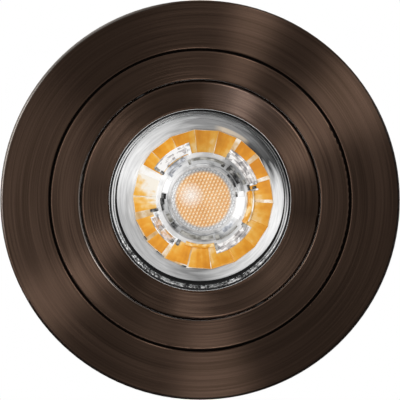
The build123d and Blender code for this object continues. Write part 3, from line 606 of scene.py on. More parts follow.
bm = spun(TILE_OUTLINE, steps=FACETS)
tint_layer = bm.faces.layers.float.new("tint")
side_layer = bm.loops.layers.float.new("side")
inner_layer = bm.loops.layers.float.new("inner")
first_joint = about_axis(JOINT_CLOCK - TILT_AXIS_CLOCK)
bmesh.ops.rotate(bm, verts=bm.verts, cent=(0, 0, 0), matrix=first_joint)
bmesh.ops.recalc_face_normals(bm, faces=bm.faces)
for tile in [face for face in bm.faces if face.normal.z < TILE_FACING]:
    number = int(tile_clock(tile.calc_center_median()) // FACET_DEG)
    bmesh.ops.inset_individual(
        bm, faces=[tile], thickness=TILE_JOINT / 2 * MM, depth=TILE_RAISE * MM,
        use_even_offset=True,
    )
    start_deg, end_deg, start_mm, end_mm = TILE_CUTS.get(number, (0, 0, 0, 0))
    for vert in tile.verts:
        late = tile_clock(vert.co) / FACET_DEG - number > 0.5
        outside = vert.co.xy.length > (TILE_INNER + TILE_OUTER) / 2 * MM
        cut_turn = about_axis(-end_deg if late else start_deg)
        bmesh.ops.rotate(bm, verts=[vert], cent=(0, 0, 0), matrix=cut_turn)
        if outside:
            shrink = 1 - (end_mm if late else start_mm) * MM / vert.co.xy.length
            bmesh.ops.scale(bm, verts=[vert], vec=(shrink, shrink, 1))
    tile[tint_layer] = TILE_TINTS[number]
    tile.material_index = 1
    slant = PLAIN_SLANT if number in PLAIN_TILES else 1.0
    for loop in tile.loops:
        loop[side_layer] = 0.5 + slant * (tile_clock(loop.vert.co) / FACET_DEG - number - 0.5)
        loop[inner_layer] = (TILE_OUTER - loop.vert.co.xy.length / MM) / (TILE_OUTER - TILE_INNER)
lens_tiles = piece("lens_tiles", bm, *facet_finishes, shift=LENS_SHIFT, flat=True)
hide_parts("lamp_lens")

# %% [markdown]
# ## Flange and rim
# Round the facets lies a silvery flange, the edge of the reflector behind the clear lens. It
# mirrors the room, and that reflection is painted into its colour: bright to the left and right,
# grey at the top and bottom, and dark between one and three o'clock, with a painted warm
# reflection of the facets near one o'clock at its inner edge. Outside it the pressed glass rim
# shows as fine bright and dark rings of painted reflection, wrinkled at the bottom. Both are
# turned shapes, and their painted tones follow the direction round the axis.

# %% Silver flange
FLANGE_OUTLINE = (
    (17.0, 0.6), (17.0, 0.4), (19.2, -0.25), (21.6, -1.1), (22.0, -1.1), (22.0, 0.45),
)
FLANGE_ROUND = 0.12
FLANGE_SOFT_CORNERS = (2, 3, 4)
FLANGE_SHIFT = clock_way(9) * 0.7 * MM
# painted reflection of the room, by clock angle
FLANGE_REFLECTION_TONES = (
    (0.0, 0.3), (0.09, 0.24), (0.12, 0.1), (0.17, 0.03), (0.23, 0.72), (0.3, 0.92), (0.4, 0.7),
    (0.51, 0.22), (0.58, 0.5), (0.7, 0.46), (0.82, 0.9), (0.93, 0.62), (1.0, 0.3),
)
FLANGE_WAVER = 0.16
FLANGE_SHADE = ((0.35, 0.82), (0.6, 1.0))
FLANGE_ROUGHNESS = (0.25, 0.4)
FLANGE_DEPTH = 0.015
# painted reflection of the amber facets at the flange's inner edge
WARM_REFLECTION_CLOCK = ((0.03, 0.0), (0.05, 0.8), (0.1, 0.6), (0.115, 0.0))
WARM_REFLECTION_EDGE = (20.3, 19.9)
WARM_REFLECTION_TONE = (0.66, 0.55, 0.42)


def by_clock(tree, lines, tones, waver):
    """Tone that follows the clock angle, its borders shifted a little from line to line."""
    moved = math_node(tree, "ADD", lines["Clock"], swing(tree, lines["Lines"], waver))
    return ramp(tree, math_node(tree, "WRAP", moved, 1.0, 0.0), *tones)


def silver_flange():
    """Silvery reflector edge with a soft painted reflection of a room, and a painted warm
    reflection of the facets in one place at its inner edge.
    """
    material, tree, shader, place = new_material("silver_flange")
    lines = turned(tree, place, per_mm=0.9, stroke=2.0)
    fine = turned(tree, place, per_mm=2.6, stroke=4.0)
    tone = by_clock(tree, lines, FLANGE_REFLECTION_TONES, FLANGE_WAVER)
    tone = product(tree, tone, ramp(tree, fine["Lines"], *FLANGE_SHADE))
    warm = math_node(tree, "MULTIPLY", ramp(tree, lines["Clock"], *WARM_REFLECTION_CLOCK),
                     mask(tree, lines["Radius"], *WARM_REFLECTION_EDGE))
    fill(
        tree, shader, Base_Color=blend_colours(tree, warm, tone, WARM_REFLECTION_TONE),
        Roughness=spread(tree, lines["Bands"], *FLANGE_ROUGHNESS), Specular_IOR_Level=0.12,
    )
    bump(tree, fine["Lines"], FLANGE_DEPTH, shader)
    return material


bm = spun(FLANGE_OUTLINE, rounding=FLANGE_ROUND, rounded=FLANGE_SOFT_CORNERS)
piece("lens_flange", bm, silver_flange(), shift=FLANGE_SHIFT)

# %% Pressed glass rim
RIM_OUTLINE = (
    (21.1, -0.5), (21.1, -0.8), (22.2, -0.8), (22.3, -1.6), (22.5, -1.75), (22.7, -1.6),
    (22.8, -1.45), (22.9, -1.45), (23.0, -1.85), (23.2, -1.95), (23.35, -1.8), (23.4, -1.6),
    (23.55, -1.6), (23.55, -0.5),
)
RIM_SHIFT = clock_way(9) * 0.3 * MM
RIM_INNER = 22.0
RIM_OUTER = 23.55
# painted reflection: bright and dark rings across the rim, and below them its tones by clock angle
RIM_REFLECTION_RINGS = (
    (0.0, 0.008), (0.1, 0.012), (0.17, 0.8), (0.42, 0.95), (0.49, 0.06), (0.55, 0.05), (0.61, 0.85),
    (0.86, 1.0), (0.93, 0.06), (1.0, 0.02),
)
RIM_RING_WAVER = 0.3
RIM_REFLECTION_TONES = (
    (0.0, 0.22), (0.1, 0.14), (0.2, 0.16), (0.28, 0.8), (0.36, 0.75), (0.46, 0.36), (0.54, 0.36),
    (0.64, 0.7), (0.76, 0.85), (0.84, 0.9), (0.93, 0.6), (1.0, 0.22),
)
RIM_CLOCK_WAVER = 0.12
CREASED = ((0.3, 0.0), (0.42, 1.0), (0.64, 1.0), (0.72, 0.0))
CREASE_SCALE = 800.0
CREASE_TONES = ((0.4, 0.06), (0.52, 0.8), (0.64, 2.0))
CREASE_DEPTH = 0.02
NO_CHANGE = (1.0, 1.0, 1.0)


def glass_rim():
    """Fine bright and dark rings of painted reflection on a pressed glass edge, lighter or darker
    by clock angle, creased at the bottom.
    """
    material, tree, shader, place = new_material("glass_rim")
    lines = turned(tree, place, per_mm=0.7, stroke=3.0)
    reach = math_node(tree, "ADD", lines["Radius"], swing(tree, lines["Lines"], RIM_RING_WAVER))
    rings = ramp(tree, mask(tree, reach, RIM_INNER, RIM_OUTER), *RIM_REFLECTION_RINGS)
    tone = product(tree, rings, by_clock(tree, lines, RIM_REFLECTION_TONES, RIM_CLOCK_WAVER))
    crease = noise(tree, place, CREASE_SCALE, distortion=1.5)
    creased = ramp(tree, lines["Clock"], *CREASED)
    wrinkles = blend_colours(tree, creased, NO_CHANGE, ramp(tree, crease, *CREASE_TONES))
    colour = product(tree, tone, wrinkles)
    fill(tree, shader, Base_Color=colour, Roughness=0.15, Specular_IOR_Level=0.25)
    bump(tree, crease, CREASE_DEPTH, shader)
    return material


piece("lamp_rim", spun(RIM_OUTLINE), glass_rim(), shift=RIM_SHIFT, slot="glass")

# %% [markdown]
# ## Mouldings in front of the facets
# Clear plastic in front of a bright lens shows as chips of white and grey with dark edges; these
# are reflections, painted here into the colours. So each of the four ribs is a pane of such chips.
# One is thin enough to let the amber through, and the two on the left have a bright frame of
# painted reflection. The hooks at their ends and the rails to the right and at the bottom have
# plain painted reflections of their own, and dark strips of painted shadow lie along the facets'
# outer edge at the bottom left. The collar round the middle gets arcs of painted dark reflection
# and white glints of painted highlight. The blocks are arcs of a section spun through a few
# degrees, with their edges bevelled.

# %% Finishes of the mouldings
PANE_TONES = (
    (0.34, (0.2, 0.19, 0.19)), (0.45, (0.46, 0.43, 0.42)), (0.54, (0.62, 0.58, 0.56)),
    (0.64, (0.92, 0.9, 0.88)),
)
STREAK_SHARE = 0.65
CHIP_SCALE = 900.0
HAZE_SWING = 1.6
PANE_DEPTH = 0.06
MOULDING_ROUGHNESS = (0.06, 0.16)


def moulding(name, *tones):
    """Clear plastic as it looks from in front, with soft streaks of the room painted in as
    reflection.
    """
    material, tree, shader, place = new_material(name)
    lines = turned(tree, place, per_mm=0.9, stroke=7.0, detail=1.5)
    fill(
        tree, shader, Base_Color=ramp(tree, lines["Lines"], *tones),
        Roughness=spread(tree, lines["Bands"], *MOULDING_ROUGHNESS), Specular_IOR_Level=0.2,
    )
    return material


def clear_pane():
    """Clear plastic in grey and white chips of painted reflection, that lets the amber through
    where its haze is thin.
    """
    material, tree, shader, place = new_material("clear_pane")
    streaks = turned(tree, place, per_mm=2.2, stroke=5.0, detail=1.0)
    chips = add_node(tree, "ShaderNodeTexVoronoi")
    fill(tree, chips, Vector=place, Scale=CHIP_SCALE)
    mixed = weighted(tree, streaks["Lines"], STREAK_SHARE, chips.outputs["Color"])
    value = math_node(tree, "ADD", mixed, attribute(tree, "tone"))
    lines = turned(tree, place, per_mm=0.9, stroke=5.0, detail=1.5)
    cover = swing(tree, lines["Lines"], HAZE_SWING)
    cover = math_node(tree, "ADD", attribute(tree, "haze"), cover, clamp=True)
    fill(tree, shader, Base_Color=ramp(tree, value, *PANE_TONES), Alpha=cover, Roughness=0.12)
    ripples = turned(tree, place, per_mm=0.9, stroke=10.0, detail=2.0)
    bump(tree, ripples["Lines"], PANE_DEPTH, shader)
    return material


pane = clear_pane()
MOULDINGS = {
    "bright_moulding": ((0.34, 0.3), (0.44, 0.62), (0.54, 0.92)),
    "hazy_edge": ((0.36, (0.15, 0.145, 0.125)), (0.6, (0.42, 0.41, 0.38))),
    "dark_reflection_edge": ((0.42, 0.008), (0.56, 0.035), (0.7, 0.12)),
    "grey_edge": (
        (0.38, (0.03, 0.028, 0.025)), (0.5, (0.08, 0.077, 0.073)), (0.62, (0.3, 0.29, 0.28)),
    ),
    "frosty_edge": (
        (0.38, (0.3, 0.31, 0.34)), (0.52, (0.52, 0.54, 0.58)), (0.64, (0.82, 0.82, 0.84)),
    ),
    "cream_edge": ((0.36, (0.6, 0.44, 0.26)), (0.5, (0.8, 0.7, 0.56)), (0.62, (0.93, 0.9, 0.86))),
    "amber_edge": ((0.4, (0.7, 0.3, 0.03)), (0.52, (0.8, 0.44, 0.1)), (0.62, (0.86, 0.62, 0.3))),
    "white_glint": ((0.36, 0.95), (0.5, 1.0)),
}
bright, hazy, dark_reflection_moulding, grey, frosty, cream, amber, glint = (
    moulding(name, *tones) for name, tones in MOULDINGS.items()
)
print("finishes:", [pane.name, *MOULDINGS])

# %% Four ribs
# clock angle, degrees round, inner and outer radius in mm, haze and tone
RIBS = (
    (51, 44, 11.8, 15.1, 1.5, -0.01), (143, 46, 11.6, 14.8, 1.3, 0.02),
    (232, 38, 12.2, 14.7, 0.6, 0.05), (323, 42, 12.6, 15.3, 1.5, 0.14),
)
RIB_PROUD = 0.25
RIB_BACK = 1.4
RIB_FRAME = 0.24
RIB_SINK = 0.05
RIB_ROUND = 0.12
RIB_FACING = -0.95
FRAMED_FROM = 0.02
PANE_FACETS = (-0.05, 0.14, 0.02, -0.16, 0.1, -0.08, 0.2)
ARC_STEP_DEG = 6.0
SOFTEN_FROM = math.radians(40)


def facet_height(radius):
    """Height of the facets' face at a radius, in mm."""
    share = (radius - TILE_INNER) / (TILE_OUTER - TILE_INNER)
    return TILE_BACK + share * (TILE_FRONT - TILE_BACK)


def rib_section(inner, outer, proud):
    """Outline of a block that stands so far proud of the facets."""
    front = ((inner, facet_height(inner) - proud), (outer, facet_height(outer) - proud))
    return (*front, (outer, RIB_BACK), (inner, RIB_BACK))


def arc_block(bm, clock, degrees, outline):
    """Block of a (radius, height) section in mm, centred on a clock angle; returns its faces."""
    start = about_axis(clock - TILT_AXIS_CLOCK - degrees / 2)
    before = set(bm.faces)
    points = [start @ Vector((radius * MM, 0, height * MM)) for radius, height in outline]
    corners = [bm.verts.new(point) for point in points]
    end = bm.faces.new(corners)
    bmesh.ops.spin(
        bm, geom=[end, *end.edges, *corners], cent=(0, 0, 0), axis=(0, 0, 1), use_duplicate=False,
        angle=math.radians(degrees), steps=max(2, round(degrees / ARC_STEP_DEG)),
    )
    return [face for face in bm.faces if face not in before]


def soften(bm, offset):
    """Bevel every sharp edge of a bmesh."""
    bmesh.ops.recalc_face_normals(bm, faces=bm.faces)
    edges = [e for e in bm.edges if e.is_manifold and e.calc_face_angle() > SOFTEN_FROM]
    bmesh.ops.bevel(
        bm, geom=edges, offset=offset * MM, affect="EDGES", segments=2, profile=0.5, material=-1,
        clamp_overlap=True,
    )


bm = bmesh.new()
haze_layer = bm.faces.layers.float.new("haze")
tone_layer = bm.faces.layers.float.new("tone")
for clock, degrees, inner, outer, haze, tone in RIBS:
    for face in arc_block(bm, clock, degrees, rib_section(inner, outer, RIB_PROUD)):
        face[haze_layer] = haze
        face[tone_layer] = tone
soften(bm, RIB_ROUND)
front = [face for face in bm.faces if face.normal.z < RIB_FACING]
bmesh.ops.inset_region(
    bm, faces=front, thickness=RIB_FRAME * MM, depth=-RIB_SINK * MM, use_even_offset=True,
)
for number, face in enumerate(front):
    face[haze_layer] += PANE_FACETS[number % len(PANE_FACETS)]
for face in bm.faces:
    if face[tone_layer] > FRAMED_FROM and face not in front:
        face.material_index = 1
piece("lens_ribs", bm, pane, bright, shift=LENS_SHIFT)

# %% Hooks and rails
HOOK_PROUD = 0.45
RAIL_PROUD = 0.75
# clock angle, degrees round, inner and outer radius in mm
GREY_HOOKS = (
    (77, 3, 13.3, 14.4), (75.5, 7, 11.5, 12.7), (210, 4, 12.3, 13.9), (217, 3.5, 13.2, 14.0),
    (257.5, 3.5, 12.0, 14.2), (303, 4, 12.2, 13.3),
)
# painted shadow: dark strips along the facets' outer edge
EDGE_SHADOW_STRIPS = ((196, 4, 18.1, 18.4), (218, 8, 18.15, 18.4), (236, 4, 18.1, 18.35))
HAZY_HOOKS = (
    (30, 3, 11.6, 14.0), (122, 4, 11.4, 13.6), (164, 2.5, 12.0, 14.0), (303, 3, 13.6, 15.0),
)
PALE_HOOKS = (
    (73, 2.5, 12.8, 14.8), (79.5, 2, 12.8, 14.8), (344, 4.5, 12.0, 15.4), (213.5, 3, 11.8, 13.4),
    (253, 5, 11.8, 13.6),
)
RAILS = ((98, 36, 13.1, 13.5), (100, 38, 11.35, 11.8))
AMBER_RAILS = ((100, 40, 11.8, 13.1), (184, 36, 11.8, 12.8))

bm = bmesh.new()
for number, (proud, blocks) in enumerate((
    (HOOK_PROUD, GREY_HOOKS + EDGE_SHADOW_STRIPS), (HOOK_PROUD, HAZY_HOOKS), (HOOK_PROUD, PALE_HOOKS),
    (RAIL_PROUD, RAILS), (RAIL_PROUD, AMBER_RAILS),
)):
    for clock, degrees, inner, outer in blocks:
        for face in arc_block(bm, clock, degrees, rib_section(inner, outer, proud)):
            face.material_index = number
soften(bm, RIB_ROUND)
piece("lens_hooks", bm, grey, hazy, bright, cream, amber, shift=LENS_SHIFT)

# %% A node group for mottled surfaces
mottle, ends_in, ends_out = new_group("mottle", ["Scale"], ["Cloud", "Grain"])
for output, factor, detail in (("Cloud", 1.0, 4.0), ("Grain", 6.0, 2.0)):
    scale = math_node(mottle, "MULTIPLY", ends_in.outputs["Scale"], factor)
    marks = noise(mottle, ends_in.outputs["Position"], scale, detail)
    mottle.links.new(marks, ends_out.inputs[output])
print("group mottle has", len(mottle.nodes), "nodes")

# %% Collar round the middle
COLLAR_OUTLINE = (
    (8.4, 1.5), (8.4, 0.2), (8.5, 0.0), (8.9, -0.35), (9.6, -0.5), (10.4, -0.4), (11.0, 0.1),
    (12.4, 0.6), (12.4, 1.5),
)
COLLAR_INNER = 8.3
COLLAR_OUTER = 12.0
# painted reflection by clock angle, white near three o'clock
COLLAR_TONES = (
    (0.0, 0.5), (0.08, 0.4), (0.15, 0.22), (0.19, 0.3), (0.23, 0.92), (0.31, 0.95), (0.37, 0.75),
    (0.45, 0.5), (0.52, 0.38), (0.62, 0.42), (0.72, 0.5), (0.78, 0.75), (0.83, 0.95), (0.9, 0.75),
    (1.0, 0.5),
)
COLLAR_CLOCK_WAVER = 0.1
COLLAR_RINGS = (
    (0.0, 1.0), (0.15, 1.0), (0.2, 0.25), (0.26, 1.0), (0.78, 1.0), (0.84, 0.3), (0.9, 1.0),
)
COLLAR_RING_WAVER = 0.8
COLLAR_BLOTS = ((0.38, 0.45), (0.5, 0.92), (0.6, 1.0))
COLLAR_CLEAR = (
    (0.0, 0.2), (0.19, 0.1), (0.23, 0.85), (0.34, 0.8), (0.45, 0.2), (0.75, 0.1), (0.79, 0.85),
    (0.9, 0.75), (1.0, 0.2),
)
COLLAR_EDGE = (10.9, 11.4)
COLLAR_DEPTH = 0.01
# painted reflection on the collar's outer edge, by clock angle
EDGE_TONES = (
    (0.0, 0.62), (0.07, 0.66), (0.1, 0.3), (0.18, 0.34), (0.23, 1.0), (0.33, 0.95), (0.4, 0.7),
    (0.5, 0.6), (0.6, 0.72), (0.7, 0.74), (0.8, 0.95), (0.92, 0.85), (1.0, 0.62),
)
EDGE_WAVER = 0.04
EDGE_BLOTS = ((0.4, 0.8), (0.55, 1.0))
FROST_SCALE = 2200.0
FROST_WIDTH = 0.6
FROST_GREY = ((0.4, 0.6), (0.6, 0.74))


def collar_clear():
    """Clear collar: frosted next to the middle, with rings of painted dark reflection that come and
    go round it, and painted reflection by clock angle on its face and its outer edge.
    """
    material, tree, shader, place = new_material("collar_clear")
    centred = add_node(tree, "ShaderNodeMapping")
    fill(tree, centred, Vector=place, Location=-LENS_SHIFT)
    place = centred.outputs[0]
    lines = turned(tree, place, per_mm=0.6, stroke=4.0)
    clouds = turned(tree, place, per_mm=0.5, stroke=4.0, detail=2.0)
    reach = math_node(tree, "ADD", lines["Radius"], swing(tree, lines["Lines"], COLLAR_RING_WAVER))
    rings = ramp(tree, mask(tree, reach, COLLAR_INNER, COLLAR_OUTER), *COLLAR_RINGS)
    dark_reflection_rings = product(tree, ramp(tree, clouds["Lines"], *COLLAR_BLOTS), rings)
    dark_reflection_rings = blend_colours(tree, ramp(tree, lines["Clock"], *COLLAR_CLEAR), dark_reflection_rings, NO_CHANGE)
    tone = product(tree, by_clock(tree, lines, COLLAR_TONES, COLLAR_CLOCK_WAVER), dark_reflection_rings)
    edge = by_clock(tree, lines, EDGE_TONES, EDGE_WAVER)
    edge = product(tree, edge, ramp(tree, clouds["Lines"], *EDGE_BLOTS))
    tone = blend_colours(tree, mask(tree, lines["Radius"], *COLLAR_EDGE), tone, edge)
    marks = use_group(tree, mottle, Position=place, Scale=FROST_SCALE)
    frost = ramp(tree, marks["Cloud"], *FROST_GREY)
    outside = mask(tree, lines["Radius"], COLLAR_INNER, COLLAR_INNER + FROST_WIDTH)
    fill(tree, shader, Base_Color=blend_colours(tree, outside, frost, tone), Roughness=0.1)
    bump(tree, marks["Grain"], COLLAR_DEPTH, shader)
    return material


piece("lens_collar", spun(COLLAR_OUTLINE), collar_clear(), shift=LENS_SHIFT)

# %% Arcs of painted dark reflection and painted white glints on the collar
ARC_FRONT = -0.65
ARC_SLOPE = 0.2
ARC_BACK = 0.8
ARC_ROUND = 0.08
# clock angle, degrees round, inner and outer radius in mm
# painted dark reflections
DARK_REFLECTION_ARCS = (
    (59, 14, 9.75, 10.65), (57, 25, 8.85, 9.4), (228, 10, 9.7, 10.8), (259, 9, 10.7, 11.2),
    (267, 9, 10.2, 11.3), (274.5, 8, 9.8, 11.0),
)
GREY_ARCS = ((45, 15, 9.8, 10.8), (43, 9, 10.9, 11.6), (30.5, 5, 9.9, 10.8), (82, 9, 8.6, 9.2))
HAZY_ARCS = (
    (190, 50, 9.7, 10.7), (7, 46, 10.4, 11.1), (142, 28, 11.2, 11.55), (340, 4, 9.7, 11.0),
    (159, 6, 10.0, 11.4), (241, 14, 9.6, 10.6), (324, 20, 12.1, 12.4), (56, 8, 11.0, 11.6),
    (67, 6, 11.3, 12.1),
)
FROSTY_ARCS = (
    (322, 27, 11.3, 12.1), (307, 4, 10.0, 11.6), (319, 18, 10.4, 10.8), (137, 22, 9.2, 10.4),
)
# painted highlights: white glints
GLINT_ARCS = ((82, 8, 9.6, 10.9), (100, 28, 8.8, 11.1), (117, 6, 8.8, 10.8), (290, 20, 9.4, 10.9))

bm = bmesh.new()
for number, arcs in enumerate((DARK_REFLECTION_ARCS, GREY_ARCS, HAZY_ARCS, FROSTY_ARCS, GLINT_ARCS)):
    for clock, degrees, inner, outer in arcs:
        front = ((inner, ARC_FRONT), (outer, ARC_FRONT + ARC_SLOPE))
        for face in arc_block(bm, clock, degrees, (*front, (outer, ARC_BACK), (inner, ARC_BACK))):
            face.material_index = number
soften(bm, ARC_ROUND)
piece("lens_arcs", bm, dark_reflection_moulding, grey, hazy, frosty, glint, shift=LENS_SHIFT)

# %% [markdown]
# ## Middle of the lens
# The middle is a flat disc of small six-sided lenses, each a cut-off cone. Its peach is the light
# source again, painted in as reflection, and fades to white near one side in a painted highlight,
# where a window shines on it, and to frosted grey past its edge, painted lighter or darker by clock
# angle. The fronts of the cones are painted paler and their sides get two painted shades, by the
# way they face, so the rows show. A white core and a cone with eighteen flats close the lens
# behind.

# %% Finishes of the honeycomb
PEACH_SCALE = 160.0
PEACH_STOPS = (0.35, 0.65)
SHINE_WHITE = (0.93, 0.9, 0.86)
# painted light and shade of the frosted edge, by clock angle
FROST_LIGHT_BY_CLOCK = (
    (0.0, 0.4), (0.15, 0.5), (0.3, 0.85), (0.5, 0.55), (0.65, 0.6), (0.8, 0.9), (1.0, 0.4),
)


def honeycomb(name, peaches, frost_gain):
    """Painted reflection of the light source's peach in small cells, whiter in a painted highlight
    where a window shines, and frosted past its edge, painted lighter or darker there by clock
    angle.
    """
    material, tree, shader, place = new_material(name)
    peach = ramp(tree, noise(tree, place, PEACH_SCALE), *zip(PEACH_STOPS, peaches))
    lit = blend_colours(tree, attribute(tree, "shine"), peach, SHINE_WHITE)
    clock = turned(tree, place)["Clock"]
    white = ramp(tree, clock, *[(at, frost_gain * tone) for at, tone in FROST_LIGHT_BY_CLOCK])
    colour = blend_colours(tree, attribute(tree, "frost"), lit, white)
    fill(tree, shader, Base_Color=colour, Roughness=0.3, Coat_Weight=0.3)
    return material


# painted shade: one peach in three copies, palest on the fronts, darker on sides along the rows,
# darkest on the others
cell_finishes = (
    honeycomb("cell_gap", ((0.68, 0.33, 0.1), (0.76, 0.42, 0.16)), 0.7),
    honeycomb("cell_side", ((0.78, 0.46, 0.19), (0.84, 0.54, 0.26)), 0.85),
    honeycomb("cell_front", ((0.88, 0.64, 0.38), (0.92, 0.74, 0.52)), 1.0),
)
print("finishes:", [finish.name for finish in cell_finishes])

# %% Honeycomb eye
CELL_SIDES = 6
CELL_PITCH = 0.985
CELL_FRONT_R = 0.28
CELL_BACK_R = 0.56
CELL_H = 0.2
CELL_CLOCK = 23.0
CELL_FACING = -0.9
ROW_FACING = 0.8
EYE_Z = 0.45
EYE_R = 8.6
EYE_DEPTH = 0.4
EYE_STEPS = 64
PEACH_R = (6.9, 7.6)
# painted highlight where a window shines on the cells
SHINE_AT = clock_way(288) * 3.4 * MM
SHINE_R = 3.6 * MM
SHINE_SHARE = 0.85
SHINE_FADE = 0.8


def cut_cone(bm, sides, front_r, back_r, depth, place):
    """Closed cone from one radius to another, centred on a place, all in mm."""
    bmesh.ops.create_cone(
        bm, cap_ends=True, segments=sides, radius1=front_r * MM, radius2=back_r * MM,
        depth=depth * MM, matrix=Matrix.Translation(Vector(place) * MM),
    )


bm = bmesh.new()
cut_cone(bm, EYE_STEPS, EYE_R, EYE_R, EYE_DEPTH, (0, 0, EYE_Z + EYE_DEPTH / 2))
rows = int(EYE_R / CELL_PITCH) + 2
for row in range(-rows, rows + 1):
    for column in range(-2 * rows, 2 * rows + 1):
        x = CELL_PITCH * (column + row / 2)
        y = CELL_PITCH * row * math.sqrt(3) / 2
        if math.hypot(x, y) <= EYE_R - CELL_PITCH / 2:
            cut_cone(bm, CELL_SIDES, CELL_FRONT_R, CELL_BACK_R, CELL_H, (x, y, EYE_Z - CELL_H / 2))
row_turn = about_axis(CELL_CLOCK - TILT_AXIS_CLOCK)
row_way = clock_way(CELL_CLOCK).xy
bmesh.ops.rotate(bm, verts=bm.verts, cent=(0, 0, 0), matrix=row_turn)
bmesh.ops.recalc_face_normals(bm, faces=bm.faces)
shine_layer = bm.faces.layers.float.new("shine")
frost_layer = bm.faces.layers.float.new("frost")
for face in bm.faces:
    # painted shade chosen by the way each side faces
    along_rows = abs(face.normal.xy.dot(row_way)) > ROW_FACING * face.normal.xy.length
    if face.normal.z < CELL_FACING:
        face.material_index = 2
    else:
        face.material_index = 1 if along_rows else 0
    middle = face.calc_center_median().xy
    apart = (middle - SHINE_AT.xy).length
    face[shine_layer] = SHINE_SHARE * max(0.0, 1 - apart / SHINE_R) ** SHINE_FADE
    past_peach = (middle.length / MM - PEACH_R[0]) / (PEACH_R[1] - PEACH_R[0])
    face[frost_layer] = 1.0 if len(face.verts) > CELL_SIDES else min(1.0, max(0.0, past_peach))
piece("lens_eye", bm, *cell_finishes, shift=LENS_SHIFT, flat=True)

# %% Core and cone behind the lens
CORE_OUTLINE = ((7.0, EYE_Z + 0.1), (12.2, 1.4), (12.2, 2.2), (6.0, 2.2), (6.0, EYE_Z + 0.3))
CONE_OUTLINE = ((18.5, 0.45), (9.0, 11.05), (8.0, 11.05), (17.0, 1.2))
MOTTLE_STOPS = (0.3, 0.7)


def mottled(name, first, second, scale, roughness, depth, metallic=0.0, coat=0.0):
    """Finish with a soft mottle between two colours, an uneven shine and a fine bump."""
    material, tree, shader, place = new_material(name)
    marks = use_group(tree, mottle, Position=place, Scale=scale)
    colour = ramp(tree, marks["Cloud"], *zip(MOTTLE_STOPS, (first, second)))
    shine = spread(tree, marks["Cloud"], *roughness)
    fill(tree, shader, Base_Color=colour, Roughness=shine, Metallic=metallic, Coat_Weight=coat)
    bump(tree, marks["Grain"], depth, shader)
    return material


core_finish = mottled("white_core", 0.7, 0.85, 500, (0.25, 0.35), 0.01)
piece("lens_core", spun(CORE_OUTLINE), core_finish, shift=LENS_SHIFT)
piece("lens_cone", spun(CONE_OUTLINE, steps=FACETS), core_finish, flat=True)

# %% [markdown]
# ## Lamp body
# Behind the rings sits the lamp: a clear glass bowl, through which the board, the cooling plate and
# the supply can be seen, and a white plastic base with two pins.

# %% Glass and the parts in it
GLASS_COLOUR = (0.95, 0.97, 0.97, 1)
GLASS_IOR = 1.5
GLASS_ROUGHNESS = (0.01, 0.05)
WAVE_SCALE = 120.0
WAVE_DEPTH = 0.05
ALUMINIUM_TONES = ((0.3, (0.55, 0.56, 0.57)), (0.7, (0.75, 0.76, 0.77)))
ALUMINIUM_ROUGHNESS = (0.25, 0.4)
ALUMINIUM_DEPTH = 0.01


def clear_glass():
    """Clear pressed glass with a faint waviness."""
    material, tree, shader, place = new_material("clear_glass")
    wave = noise(tree, place, WAVE_SCALE)
    fill(tree, shader, Base_Color=GLASS_COLOUR, Roughness=spread(tree, wave, *GLASS_ROUGHNESS))
    fill(tree, shader, Transmission_Weight=1.0, IOR=GLASS_IOR)
    bump(tree, wave, WAVE_DEPTH, shader)
    return material


def spun_aluminium():
    """Bare metal with fine turning lines."""
    material, tree, shader, place = new_material("spun_aluminium")
    lines = turned(tree, place, per_mm=5.0, stroke=3.0)
    shine = spread(tree, lines["Bands"], *ALUMINIUM_ROUGHNESS)
    colour = ramp(tree, lines["Lines"], *ALUMINIUM_TONES)
    fill(tree, shader, Base_Color=colour, Roughness=shine, Metallic=1.0)
    bump(tree, lines["Lines"], ALUMINIUM_DEPTH, shader)
    return material


# two colours, the mottle's scale, the range of roughness and the bump's depth in mm
lamp_finishes = {
    "lamp_glass": clear_glass(),
    "lamp_heat_sink": spun_aluminium(),
    "led_chip": mottled("phosphor", (0.75, 0.5, 0.08), (0.88, 0.64, 0.16), 900, (0.5, 0.7), 0.02),
    "led_board": mottled(
        "white_board", (0.72, 0.72, 0.7), (0.84, 0.84, 0.82), 500, (0.35, 0.5), 0.01,
    ),
    "driver_board": mottled(
        "green_board", (0.02, 0.1, 0.04), (0.05, 0.17, 0.07), 400, (0.3, 0.45), 0.02, coat=0.4,
    ),
    "driver_capacitor": mottled(
        "capacitor_sleeve", (0.012, 0.012, 0.016), (0.03, 0.03, 0.04), 300, (0.25, 0.4), 0.01,
        coat=0.5,
    ),
    "driver_choke": mottled(
        "ferrite", (0.02, 0.019, 0.018), (0.05, 0.048, 0.046), 900, (0.5, 0.7), 0.04,
    ),
    "lamp_base": mottled(
        "white_moulding", (0.76, 0.755, 0.74), (0.84, 0.835, 0.82), 250, (0.3, 0.42), 0.015,
        coat=0.2,
    ),
    "lamp_contact_pins": mottled(
        "nickel", (0.55, 0.54, 0.5), (0.7, 0.69, 0.65), 300, (0.15, 0.3), 0.005, metallic=1.0,
    ),
}
for node, finish in lamp_finishes.items():
    dress(finish, node)
print("lamp dressed:", ", ".join(lamp_finishes))

# %% [markdown]
# ## Lampholder, clips and small metal
# The lampholder is unglazed ceramic: matt, cream and slightly speckled. The clips are zinc plated
# sheet, and the springs bare wire. The pivot pins and their washers are blackened, so that the gap
# round the inner ring stays dark.

